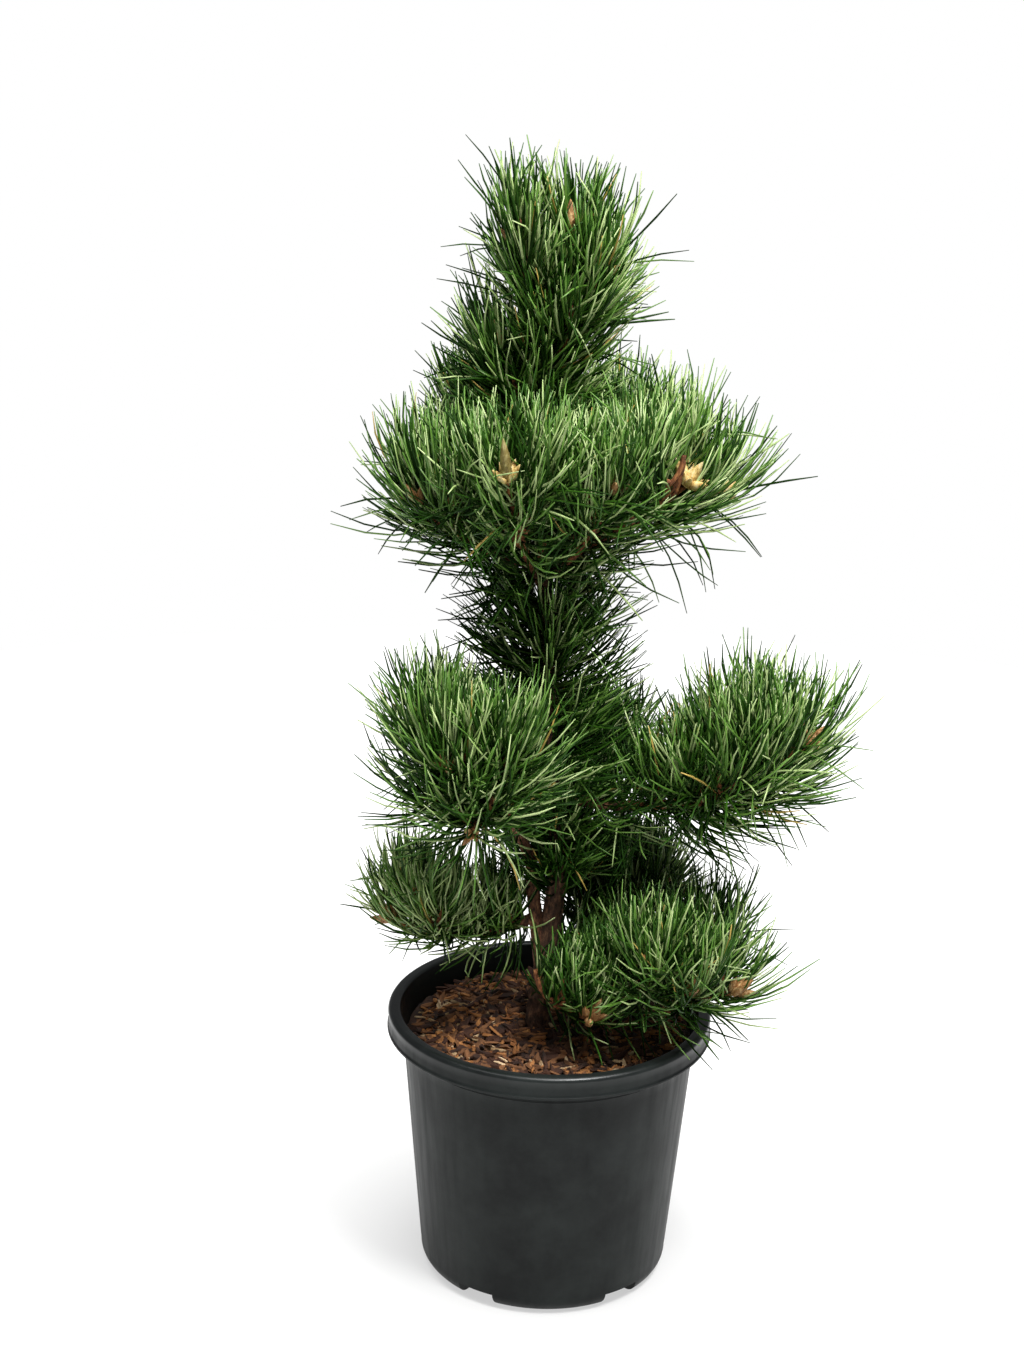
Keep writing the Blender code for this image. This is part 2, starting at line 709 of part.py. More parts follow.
def plan_shoots(lines):
    """Shoots of each mass: its main shoot and the side shoots that stay clear of other limbs."""
    plan = {}
    for number, (name, line) in enumerate(lines.items()):
        bough = BOUGHS[name]
        rng = random.Random(SHOOT_SEED + number)
        bare = bough["bare"] + GAP / line_length(line)
        main = sub_line(line, bare, 1.0, SHOOT_POINTS)
        shoots = [main]
        side = rng.choice((-1, 1))
        others = [other for key, other in lines.items() if key != name]
        for i, length in enumerate(bough["sides"]):
            shoot = side_shoot(main, SIDE_FIRST + SIDE_STEP * i, length, side, rng)
            side = -side
            if all(distances(shoot, other).min() > SHOOT_CLEAR for other in others):
                shoots.append(shoot)
        for tip in bough.get("tips", ()):
            fork = point_at(main, TIP_FORK)
            reach = 0.5 * line_length(main) * (1 - TIP_FORK)
            control = fork + reach * direction_at(main, TIP_FORK)
            shoots.append(bent_line(fork, control, np.array(tip), SHOOT_POINTS))
        plan[name] = shoots
    for name, sleeve in SLEEVES.items():
        bands = 2 * round((sleeve["top"] - sleeve["foot"]) / SLEEVE_BAND / 2)
        heights = np.linspace(sleeve["foot"], sleeve["top"], bands + 1)
        axis = np.array([trunk_at(height)[0] for height in heights])
        shoots = [axis]
        for tip in sleeve["spurs"]:
            tip = np.array(tip)
            foot, radius = trunk_at(tip[2] - SPUR_RISE)
            out = np.array([tip[0] - foot[0], tip[1] - foot[1], 0.0])
            out = out / np.linalg.norm(out)
            shoots.append(upright_shoot(foot + out * (radius + SPUR_FOOT), tip))
        plan[name] = shoots
    return plan


def carried_frames(line):
    """Direction and two side axes at each point of a line, carried along it without twist."""
    along = np.gradient(line, axis=0)
    along = along / np.linalg.norm(along, axis=1)[:, None]
    side = UP if abs(along[0, 2]) < 0.9 else np.array([1.0, 0.0, 0.0])
    sides = []
    for direction in along:
        side = side - direction * float(side @ direction)
        side = side / np.linalg.norm(side)
        sides.append(side)
    sides = np.array(sides)
    return along, sides, np.cross(along, sides)


def ring_points(line, radii, sides, twist_deg):
    """Rings of points round a line. Each ring is turned on from the one before it."""
    _, first, second = carried_frames(line)
    turns = np.radians(twist_deg) * np.arange(len(line))[:, None]
    angles = 2 * math.pi * np.arange(sides)[None] / sides + turns
    spread = np.cos(angles)[..., None] * first[:, None] + np.sin(angles)[..., None] * second[:, None]
    return line[:, None] + np.asarray(radii)[:, None, None] * spread


def band_faces(sides):
    """Faces of the band between two rings, as (ring, corner) pairs, pointing outwards."""
    faces = []
    for j in range(sides):
        k = (j + 1) % sides
        faces.append(((0, j), (0, k), (1, j)))
        faces.append(((0, k), (1, k), (1, j)))
    return faces


def needle_rule(line, share, root, rng, spray):
    """Tip of a needle rooted at a share of a stem.

    It leans by the stem's kind, and less on the underside, and curls up.
    """
    along = direction_at(line, share)
    outward = root - point_at(line, share)
    outward = outward - along * float(outward @ along)
    outward = outward / np.linalg.norm(outward)
    lean_foot, lean_tip, lateness = NEEDLE_LEANS[spray["kind"]]
    below = max(0.0, -outward[2]) * spray["under"]
    lean = math.radians(lean_foot + (lean_tip - lean_foot) * share ** lateness)
    lean = lean * (1 - UNDER_LEAN * below ** 2)
    outward = outward + UNDER_LIFT * below * UP
    heading = math.cos(lean) * along + math.sin(lean) * outward + NEEDLE_LIFT * UP
    heading = heading / np.linalg.norm(heading)
    heading = heading + NEEDLE_CURL * (UP - heading * heading[2])
    heading = heading / np.linalg.norm(heading)
    growth = np.interp(share, (0.0, 1.0), TOP_GROWTH) if spray["kind"] == "top" else 1.0
    return root + heading * spray["length"] * growth * rng.uniform(*NEEDLE_VARIATION)


def sturdy_tip(corners, root, tip):
    """A needle's tip, turned away from the face it stands on where it would lie too flat."""
    normal = np.cross(corners[1] - corners[0], corners[2] - corners[0])
    normal = normal / np.linalg.norm(normal)
    length = np.linalg.norm(tip - root)
    heading = (tip - root) / length
    rise = float(heading @ normal)
    if rise < NEEDLE_LEAST_RISE:
        level = heading - rise * normal
        level = level / np.linalg.norm(level)
        heading = NEEDLE_LEAST_RISE * normal + math.sqrt(1 - NEEDLE_LEAST_RISE ** 2) * level
    return root + heading * length


def needle_fits(root, tip, own, rest, others, limbs, taken):
    """True if a needle keeps to its mass's space and clear of limbs, pot and other shoots."""
    shares = np.linspace(NEEDLE_ROOT_FREE, 1.0, NEEDLE_SAMPLES)[:, None]
    points = root + (tip - root) * shares
    own_distance = np.min([distances(points, line) for line in own], axis=0)
    other_distance = np.min([distances(points, line) for line in others], axis=0)
    if np.any(own_distance > other_distance - SPACE_MARGIN):
        return False
    if any(np.any(distances(points, line) < radius + NEEDLE_CLEAR) for line, radius in limbs):
        return False
    if any(np.any(distances(points, line) < SHOOT_TIP_RADIUS + NEEDLE_CLEAR) for line in rest):
        return False
    if not clear_of_pot(points):
        return False
    if len(taken) == 0:
        return True
    gaps = np.linalg.norm(points[:, None, :] - taken[None], axis=2)
    return bool(gaps.min() > NEEDLE_SPACING)


def needle_samples(root, tip):
    """Points along a needle that later shoots of its mass keep away from."""
    shares = np.linspace(NEEDLE_ROOT_FREE, 1.0, 2 * NEEDLE_SAMPLES)[:, None]
    return root + (tip - root) * shares


def needled_skin(line, radii, sides, twist_deg, spray, fits, rng, bare_bands):
    """Points and faces of a slim core from whose faces needles stand out.

    Each face of the skin that has room for a needle is drawn out to a point, so needle and
    core are one closed surface. The bands at its foot and its tip that stay bare are counted in
    bare_bands. Returns points, faces and the samples of the needles.
    """
    rings = ring_points(line, radii, sides, twist_deg)
    points = [tuple(point) for ring in rings for point in ring]
    shares = line_shares(line)
    faces = []
    samples = []
    for band in range(len(line) - 1):
        share = (shares[band] + shares[band + 1]) / 2
        for pairs in band_faces(sides):
            face = [(band + step) * sides + corner for step, corner in pairs]
            corners = np.array([points[i] for i in face])
            root = corners.mean(axis=0)
            tip = sturdy_tip(corners, root, needle_rule(line, share, root, rng, spray))
            bare = band < bare_bands[0] or band >= len(line) - 1 - bare_bands[1]
            if bare or not fits(root, tip):
                faces.append(face)
                continue
            samples.append(needle_samples(root, tip))
            points.append(tuple(tip))
            apex = len(points) - 1
            faces.extend([(face[0], face[1], apex), (face[1], face[2], apex), (face[2], face[0], apex)])
    return points, faces, samples


def mesh_object(name, points, faces, collection):
    """Object from computed points and faces."""
    data = bpy.data.meshes.new(name)
    data.from_pydata(points, [], faces)
    return new_object(name, data, collection)


def needled_shoot(name, line, radius, spray, fits, rng, parts):
    """A three-sided shoot with needles, a swollen end bud and a flat sunk foot."""
    count = max(4, round(line_length(line) / NEEDLE_PITCH) + 1)
    core = sub_line(line, 0.0, 1.0, count)
    radii = np.linspace(radius, SHOOT_TIP_RADIUS * CORE_SWELL, count)
    bare_bands = (1, 1 if spray["kind"] == "main" else 0)
    points, faces, samples = needled_skin(core, radii, 3, CORE_TWIST_DEG, spray, fits, rng, bare_bands)
    faces.append((2, 1, 0))
    along = direction_at(core, 1.0)
    points.append(tuple(core[-1] + along * SHOOT_END))
    last = (count - 1) * 3
    tip = len(points) - 1
    faces.extend([(last, last + 1, tip), (last + 1, last + 2, tip), (last + 2, last, tip)])
    return mesh_object(name, points, faces, parts), samples


def sleeve_inner_radius(radius):
    """Corner radius of a sleeve whose flat sides stay clear of a trunk of this radius."""
    return (radius + GAP + SLEEVE_SLACK) / math.cos(math.pi / SLEEVE_SIDES)


def needled_sleeve(name, line, closed, spray, fits, rng, parts):
    """A thin sleeve round the trunk with needles on its outside. A closed one ends in a tip."""
    sides = SLEEVE_SIDES
    inner_radii = np.array([sleeve_inner_radius(trunk_at(point[2])[1]) for point in line])
    twist = 180.0 / sides
    points, faces, samples = needled_skin(
        line, inner_radii + SLEEVE_WALL, sides, twist, spray, fits, rng, (0, 0))
    inner_start = len(points)
    inner = line.copy()
    if closed:
        inner[-1] = trunk_rows()[-1, :3] + np.array([0.0, 0.0, 2 * GAP])
    for ring in ring_points(inner, inner_radii, sides, twist):
        points.extend(tuple(point) for point in ring)
    for band in range(len(line) - 1):
        for corners in band_faces(sides):
            face = [inner_start + (band + step) * sides + corner for step, corner in corners]
            faces.append(tuple(reversed(face)))
    outer_last = (len(line) - 1) * sides
    inner_last = inner_start + outer_last
    for j in range(sides):
        k = (j + 1) % sides
        faces.append((k, j, inner_start + j, inner_start + k))
    if closed:
        points.append(tuple(line[-1] + UP * SHOOT_END))
        tip = len(points) - 1
        faces.extend([(outer_last + j, outer_last + (j + 1) % sides, tip) for j in range(sides)])
        faces.append(tuple(inner_last + j for j in reversed(range(sides))))
    else:
        for j in range(sides):
            k = (j + 1) % sides
            faces.append((outer_last + j, outer_last + k, inner_last + k, inner_last + j))
    return mesh_object(name, points, faces, parts), samples


def bud_mesh(place, heading, radius, length, sides):
    """Spindle bud that points along its heading, turned a little about it."""
    work = bmesh.new()
    bmesh.ops.create_uvsphere(work, u_segments=sides, v_segments=sides - 1, radius=1.0)
    bmesh.ops.scale(work, verts=work.verts, vec=(radius, radius, length / 2))
    own_turn = Matrix.Rotation(math.radians(BUD_TURN_DEG * sides), 3, "Z")
    turn = Vector(heading).to_track_quat("Z", "Y").to_matrix() @ own_turn
    bmesh.ops.rotate(work, verts=work.verts, matrix=turn)
    bmesh.ops.translate(work, verts=work.verts, vec=Vector(place))
    data = bpy.data.meshes.new("bud")
    work.to_mesh(data)
    work.free()
    return data


def bud_cluster(line, scale):
    """A main shoot's end bud with two smaller ones beside it."""
    tip = line[-1]
    along = direction_at(line, 1.0)
    radius = BUD_RADIUS * scale
    length = BUD_LENGTH * scale
    meshes = [bud_mesh(tip + along * length * BUD_SET, along, radius, length, 5)]
    across = np.cross(along, np.array([0.0, 1.0, 0.0]))
    across = across / np.linalg.norm(across)
    side_radius = radius * SIDE_BUD_SCALE
    side_length = length * SIDE_BUD_SCALE
    for side in (-1, 1):
        heading = along + side * SIDE_BUD_SPREAD * across
        heading = heading / np.linalg.norm(heading)
        place = tip + heading * side_length * BUD_SET
        meshes.append(bud_mesh(place, heading, side_radius, side_length, 4))
    return meshes


def make_mass(name, plan, limbs, parts, material):
    """One needle mass: its shoots with their needles and buds, joined into a single body."""
    shoots = plan[name]
    node = "needles_" + name
    others = [line for key, lines in plan.items() if key != name for line in lines]
    rng = random.Random(NEEDLE_SEED + sum(map(ord, name)))
    is_sleeve = name in SLEEVES
    spec = SLEEVES[name] if is_sleeve else BOUGHS[name]
    under = HANGING_SHARE if name in HANGING else 1.0
    taken = np.zeros((0, 3))
    pieces = []
    for index, line in enumerate(shoots):
        rest = [other for k, other in enumerate(shoots) if k != index]

        def fits(root, tip):
            return needle_fits(root, tip, shoots, rest, others, limbs, taken)

        if is_sleeve and index == 0:
            closed = bool(spec["spurs"])
            spray = dict(kind="top" if closed else "trunk", length=spec["needle"], under=under)
            item, samples = needled_sleeve(node, line, closed, spray, fits, rng, parts)
        else:
            spray = dict(kind="side" if index else "main", length=spec["needle"], under=under)
            radius = SPUR_RADIUS if is_sleeve else SIDE_SHOOT_RADIUS
            if index == 0:
                radius = bough_radius(spec, spec["bare"])
            radius = radius * CORE_SWELL
            item, samples = needled_shoot(node, line, radius, spray, fits, rng, parts)
        pieces.append(item)
        if samples:
            taken = np.vstack([taken, *samples])
    for index, line in enumerate(shoots):
        if index > 0 or name == "column":
            continue
        for mesh in bud_cluster(line, LEADER_BUD_SCALE if is_sleeve else 1.0):
            pieces.append(new_object("bud", mesh, parts))
    return finish_node(fuse(node, pieces, parts), node, material)


def build():
    """Model the whole plant in its pot."""
    clear_scene()
    materials = make_materials()
    scene_root = bpy.context.scene.collection
    parts = bpy.data.collections.new("oregon_green_austrian_pine")
    cutters = bpy.data.collections.new("cutters")
    scene_root.children.link(parts)
    scene_root.children.link(cutters)

    make_pot(parts, cutters, materials["pot_plastic"])
    make_root_ball(parts, materials["soil"])
    make_mulch(parts, materials["bark_mulch"])

    finish_node(make_trunk(parts), "trunk", materials["bark"])
    trunk_space = make_trunk(cutters, GAP)
    trunk_space.name = "trunk_clearance"
    lines = {name: bough_line(name) for name in BOUGHS}
    stem_space = limb_tube(FORKED, "stem_clearance", lines[FORKED], 0.0, FORK_SHARE, GAP, cutters)
    for space in (trunk_space, stem_space):
        space.hide_render = True
        space.display_type = "WIRE"

    rows = trunk_rows()
    limbs = [(rows[i:i + 4, :3], float(rows[i, 3])) for i in range(0, len(rows) - 1, 3)]
    for name, line in lines.items():
        bearer = stem_space if name == ON_STEM else trunk_space
        make_limbs(name, line, bearer, parts, materials["bark"])
        bare = BOUGHS[name]["bare"]
        limbs.append((sub_line(line, 0.0, bare, LIMB_POINTS), BOUGHS[name]["radius"]))

    plan = plan_shoots(lines)
    for name in plan:
        make_mass(name, plan, limbs, parts, materials["needles"])


build()
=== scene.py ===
"""A young 'Oregon Green' Austrian pine in a three litre nursery pot.

Every length is in metres, +Z is up, -Y is the front, and the origin is the middle of the
pot's underside. The sections follow the plant as it is put together: studio, pot, mulch,
trunk and limbs, shoots, needles, buds.
"""
import sys
import math
import random

import bpy
import numpy as np
from mathutils import Matrix, Vector


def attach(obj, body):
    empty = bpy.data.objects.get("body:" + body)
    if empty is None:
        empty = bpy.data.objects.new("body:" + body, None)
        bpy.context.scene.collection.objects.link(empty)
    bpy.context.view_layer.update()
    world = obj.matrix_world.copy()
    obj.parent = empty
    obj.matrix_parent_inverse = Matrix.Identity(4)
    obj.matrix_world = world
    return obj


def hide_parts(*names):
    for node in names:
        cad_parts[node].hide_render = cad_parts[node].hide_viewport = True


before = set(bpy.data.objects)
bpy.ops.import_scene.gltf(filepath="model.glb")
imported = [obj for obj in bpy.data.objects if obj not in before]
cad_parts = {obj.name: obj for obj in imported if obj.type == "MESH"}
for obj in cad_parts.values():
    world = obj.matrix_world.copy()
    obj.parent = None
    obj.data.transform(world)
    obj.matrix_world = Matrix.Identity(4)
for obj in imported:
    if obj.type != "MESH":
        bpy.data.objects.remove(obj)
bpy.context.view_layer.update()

scene = bpy.context.scene


# The studio: a round floor in a white room, with a large soft light above. The floor glows by its own emission
# and is no lamp.
# The glow is painted light: lowest at the pot's foot and full from 0.26 m out, so its dip round the pot is a
# painted shade.
# The camera stands 1.3 m in front, looks down a little and is rolled slightly.

CAMERA_PLACE = (-0.0266, -1.34073, 0.80312)
CAMERA_PITCH = 0.3174
CAMERA_ROLL = 0.02398
CAMERA_LENS_MM = 65.89
FLOOR_RADIUS = 1.3
FLOOR_GAP = 0.0002
# Painted floor glow: emission strength by distance from the middle, 0.56 at 70 mm rising to 1.0 at 260 mm, lower
# near the pot as a painted shade.
GLOW_INNER = (0.070, 0.56)
GLOW_OUTER = (0.260, 1.00)
ROOM_FILL = 0.22


def linear(hex_colour):
    """Linear RGBA of an sRGB hex colour: each channel by the sRGB curve."""
    channels = [int(hex_colour[i:i + 2], 16) / 255 for i in (1, 3, 5)]
    curve = [c / 12.92 if c <= 0.04045 else ((c + 0.055) / 1.055) ** 2.4 for c in channels]
    return (*curve, 1.0)


def new_material(name, colour, roughness):
    """A material whose Principled shader has this base colour and roughness."""
    material = bpy.data.materials.new(name)
    material.use_nodes = True
    shader = material.node_tree.nodes["Principled BSDF"]
    shader.inputs["Base Color"].default_value = linear(colour)
    shader.inputs["Roughness"].default_value = roughness
    material.diffuse_color = linear(colour)
    return material, shader


def add_node(material, kind, settings=None, **links):
    """Add a node. settings hold its attributes and socket values, links the sockets it reads."""
    node = material.node_tree.nodes.new(kind)
    for key, value in (settings or {}).items():
        if key in node.inputs:
            node.inputs[key].default_value = value
        else:
            setattr(node, key, value)
    for key, source in links.items():
        material.node_tree.links.new(source, node.inputs[key.replace("_", " ")])
    return node


def mesh_piece(name, points, faces, material, smooth=True):
    """Object whose mesh has these points and faces, with its normals turned outwards as given."""
    mesh = bpy.data.meshes.new(name)
    mesh.from_pydata(points, [], faces)
    mesh.materials.append(material)
    if smooth:
        mesh.shade_smooth()
    piece = bpy.data.objects.new(name, mesh)
    scene.collection.objects.link(piece)
    return piece


def grid_faces(rows, columns, closed):
    """Quads between neighbouring rows of a grid of points. closed joins the last column to the first."""
    row, column = np.meshgrid(np.arange(rows - 1), np.arange(columns if closed else columns - 1),
                              indexing="ij")
    after = (column + 1) % columns
    corners = [row * columns + column, row * columns + after,
               (row + 1) * columns + after, (row + 1) * columns + column]
    return np.stack(corners, axis=-1).reshape(-1, 4)


def floor_disc(rings, sectors):
    """Flat round floor: rings of points, closed at the middle."""
    radius = np.linspace(0.0, FLOOR_RADIUS, rings)[1:, None]
    angle = 2 * math.pi * np.arange(sectors)[None] / sectors
    flat = np.stack([radius * np.cos(angle), radius * np.sin(angle), 0 * radius * angle - FLOOR_GAP], axis=-1)
    points = flat.reshape(-1, 3).tolist() + [(0.0, 0.0, -FLOOR_GAP)]
    faces = grid_faces(rings - 1, sectors, True)[:, ::-1].tolist()
    faces += [(i, (i + 1) % sectors, len(points) - 1) for i in range(sectors)]
    return points, faces


glowing_floor, glowing_floor_shader = new_material("glowing_floor_painted_shade", "#939392", 0.85)
# The floor's emission is painted light, not a lamp. It is lower near the pot's foot, a painted shade round it.
glowing_floor_shader.inputs["Emission Color"].default_value = linear("#ffffff")
glowing_floor_shader.inputs["Specular IOR Level"].default_value = 0.1
acrylic_place = add_node(glowing_floor, "ShaderNodeTexCoord")
from_middle = add_node(glowing_floor, "ShaderNodeVectorMath", {"operation": "LENGTH"},
                       Vector=acrylic_place.outputs["Object"])
floor_glow = add_node(glowing_floor, "ShaderNodeMapRange",
                      {"From Min": GLOW_INNER[0], "From Max": GLOW_OUTER[0],
                       "To Min": GLOW_INNER[1], "To Max": GLOW_OUTER[1]},
                      Value=from_middle.outputs["Value"])
glowing_floor.node_tree.links.new(floor_glow.outputs["Result"], glowing_floor_shader.inputs["Emission Strength"])
acrylic_grain = add_node(glowing_floor, "ShaderNodeTexNoise", {"Scale": 180.0, "Detail": 2.0},
                         Vector=acrylic_place.outputs["Object"])
acrylic_bump = add_node(glowing_floor, "ShaderNodeBump", {"Strength": 0.03, "Distance": 0.0002},
                        Height=acrylic_grain.outputs["Fac"])
glowing_floor.node_tree.links.new(acrylic_bump.outputs["Normal"], glowing_floor_shader.inputs["Normal"])
mesh_piece("studio_floor", *floor_disc(6, 96), glowing_floor)


def soft_light(name, place, aim, size, power):
    """Square area light at a place, turned to its aim."""
    data = bpy.data.lights.new(name, "AREA")
    data.size = size
    data.energy = power
    light = bpy.data.objects.new(name, data)
    scene.collection.objects.link(light)
    light.location = place
    light.rotation_euler = (Vector(aim) - Vector(place)).to_track_quat("-Z", "Y").to_euler()
    return light


soft_light("light_above", (0.2, -0.3, 2.6), (0.0, 0.0, 0.2), 2.4, 100.0)
soft_light("light_key", (0.55, -0.9, 2.3), (0.0, 0.0, 0.35), 0.45, 48.0)


def white_room():
    """World that is pure white to the eye and lights the plant softly from all round."""
    room = bpy.data.worlds.new("white_room")
    room.use_nodes = True
    nodes, links = room.node_tree.nodes, room.node_tree.links
    seen = nodes["Background"]
    seen.inputs["Color"].default_value = linear("#ffffff")
    seen.inputs["Strength"].default_value = 1.0
    fill = nodes.new("ShaderNodeBackground")
    fill.inputs["Color"].default_value = linear("#fbfdff")
    fill.inputs["Strength"].default_value = ROOM_FILL
    path = nodes.new("ShaderNodeLightPath")
    choose = nodes.new("ShaderNodeMixShader")
    links.new(path.outputs["Is Camera Ray"], choose.inputs["Fac"])
    links.new(fill.outputs["Background"], choose.inputs[1])
    links.new(seen.outputs["Background"], choose.inputs[2])
    links.new(choose.outputs["Shader"], nodes["World Output"].inputs["Surface"])
    return room


scene.world = white_room()
scene.view_settings.view_transform = "Standard"


def add_camera():
    """The camera at its place: pitched down, then rolled about its own line of sight."""
    data = bpy.data.cameras.new("camera")
    data.lens = CAMERA_LENS_MM
    data.sensor_width = 36.0
    camera = bpy.data.objects.new("camera", data)
    scene.collection.objects.link(camera)
    cp, sp = math.cos(CAMERA_PITCH), math.sin(CAMERA_PITCH)
    cr, sr = math.cos(CAMERA_ROLL), math.sin(CAMERA_ROLL)
    forward, up, right = np.array([0, cp, -sp]), np.array([0, sp, cp]), np.array([1.0, 0, 0])
    across = right * cr + up * sr
    upward = up * cr - right * sr
    matrix = Matrix.Identity(4)
    for column, axis in enumerate((across, upward, -forward)):
        for row in range(3):
            matrix[row][column] = axis[row]
    for row in range(3):
        matrix[row][3] = CAMERA_PLACE[row]
    camera.matrix_world = matrix
    scene.camera = camera


add_camera()


# The nursery pot: black polypropylene, injection moulded with a thin wall, a rolled rim over
# a short skirt, and a foot ring with five drain notches. The gate and the flow of the
# plastic leave faint upright streaks and a satin face.

POT_STEPS = 192
RIM_RADIUS = 0.0950
RIM_TOP = 0.1636
SKIRT_FOOT = 0.1503
WALL = 0.0018
BODY_RADIUS_FOOT = 0.0728
BODY_FLARE = 0.0895
FOOT_ROUND = 0.0100
FLOOR_LIFT = 0.0100
FLOOR_WALL = 0.0020
PAD_RADIUS = 0.0376
PAD_SLOPE = 0.0036
FOOT_RING_INNER = 0.0590
NOTCH_COUNT = 5
NOTCH_FIRST_DEG = 21.0
NOTCH_WIDTH = 0.0235
NOTCH_HEIGHT = 0.0090


def body_radius(height):
    """Outer radius of the pot's wall at a height: foot radius plus flare times height."""
    return BODY_RADIUS_FOOT + BODY_FLARE * height


def arc(centre, radius, first_deg, last_deg, count):
    """Points of a circular arc in the half section, from one angle to another."""
    angles = np.radians(np.linspace(first_deg, last_deg, count))
    return [(centre[0] + radius * math.cos(a), centre[1] + radius * math.sin(a)) for a in angles]


def pot_profile():
    """Half section of the pot: up inside, round the rolled lip, down the skirt, body and foot."""
    lift = FLOOR_LIFT + FLOOR_WALL
    inner_foot = body_radius(lift) - WALL
    slope_top = PAD_RADIUS + PAD_SLOPE
    inside = [(0.0, FLOOR_WALL), (PAD_RADIUS - 0.0016, FLOOR_WALL), (slope_top - 0.0016, lift),
              (inner_foot - 0.0016, lift), (inner_foot + 0.0002, lift + 0.0018)]
    inside += [(body_radius(z) - WALL, z) for z in np.linspace(0.02, SKIRT_FOOT, 12)]
    inside += [(RIM_RADIUS - 0.0084, SKIRT_FOOT + 0.0080)]
    lip = arc((RIM_RADIUS - 0.0056, RIM_TOP - 0.0020), 0.0020, 165.0, 95.0, 6)
    lip += arc((RIM_RADIUS - 0.0030, RIM_TOP - 0.0030), 0.0030, 92.0, 4.0, 9)
    skirt = [(RIM_RADIUS - 0.0004, RIM_TOP - 0.0050 - 0.0050 * t) for t in (0.0, 0.5, 1.0)]
    skirt += [(RIM_RADIUS - 0.0003, SKIRT_FOOT + 0.0021), (RIM_RADIUS + 0.0003, SKIRT_FOOT + 0.0014)]
    skirt += arc((RIM_RADIUS - 0.0004, SKIRT_FOOT + 0.0007), 0.0007, 20.0, -150.0, 6)
    under = [(RIM_RADIUS - 0.0021, RIM_TOP - 0.0042), (RIM_RADIUS - 0.0040, RIM_TOP - 0.0026),
             (RIM_RADIUS - 0.0060, RIM_TOP - 0.0040), (RIM_RADIUS - 0.0069, SKIRT_FOOT + 0.0060),
             (body_radius(SKIRT_FOOT) + 0.0004, SKIRT_FOOT - 0.0002)]
    ridge_z = SKIRT_FOOT - 0.0062
    body = [(body_radius(ridge_z + 0.0007), ridge_z + 0.0007), (body_radius(ridge_z) + 0.0003, ridge_z),
            (body_radius(ridge_z - 0.0007), ridge_z - 0.0007)]
    body += [(body_radius(z), z) for z in np.linspace(0.138, 0.014, 12)]
    foot = arc((body_radius(FOOT_ROUND) - FOOT_ROUND, FOOT_ROUND), FOOT_ROUND, 5.0, -88.0, 10)
    foot += [(FOOT_RING_INNER + 0.0006, 0.0), (FOOT_RING_INNER, FLOOR_LIFT), (slope_top, FLOOR_LIFT),
             (PAD_RADIUS, 0.0), (0.0, 0.0)]
    return inside + lip + skirt + under + body + foot


def turned_surface(profile, steps):
    """Surface of revolution: each profile point swept round +Z, the two axis points kept single."""
    ring = np.array(profile[1:-1])
    angle = 2 * math.pi * np.arange(steps) / steps
    x = ring[:, :1] * np.cos(angle)
    y = ring[:, :1] * np.sin(angle)
    z = np.repeat(ring[:, 1:], steps, axis=1)
    points = np.stack([x, y, z], axis=-1).reshape(-1, 3).tolist()
    faces = [tuple(reversed(face)) for face in grid_faces(len(ring), steps, True).tolist()]
    first, last = len(points), len(points) + 1
    points += [(0.0, 0.0, profile[0][1]), (0.0, 0.0, profile[-1][1])]
    base = (len(ring) - 1) * steps
    faces += [(i, (i + 1) % steps, first) for i in range(steps)]
    faces += [(base + (i + 1) % steps, base + i, last) for i in range(steps)]
    return points, faces


def cut_notches(pot):
    """Cut the drain notches through the foot ring and apply the cut."""
    inner, outer = FOOT_RING_INNER - 0.003, BODY_RADIUS_FOOT + 0.006
    corners = np.array([(x, y, z) for x in (inner, outer) for y in (-0.5, 0.5) for z in (-1, 1)])
    corners = corners * (1.0, NOTCH_WIDTH, NOTCH_HEIGHT)
    points, faces = [], []
    for i in range(NOTCH_COUNT):
        turn = math.radians(NOTCH_FIRST_DEG + i * 360.0 / NOTCH_COUNT)
        spin = np.array([[math.cos(turn), -math.sin(turn), 0], [math.sin(turn), math.cos(turn), 0], [0, 0, 1]])
        base = len(points)
        points += (corners @ spin.T).tolist()
        sides = [(0, 1, 3, 2), (4, 6, 7, 5), (0, 4, 5, 1), (2, 3, 7, 6), (0, 2, 6, 4), (1, 5, 7, 3)]
        faces += [tuple(base + k for k in side) for side in sides]
    cutter = mesh_piece("notch_cutter", points, faces, pot.data.materials[0], False)
    cut = pot.modifiers.new("notches", "BOOLEAN")
    cut.operation = "DIFFERENCE"
    cut.object = cutter
    cut.solver = "EXACT"
    bpy.context.view_layer.update()
    mesh = bpy.data.meshes.new_from_object(pot.evaluated_get(bpy.context.evaluated_depsgraph_get()))
    pot.modifiers.clear()
    pot.data = mesh
    bpy.data.objects.remove(cutter)
    mesh.shade_smooth()
    mesh.set_sharp_from_angle(angle=math.radians(38.0))


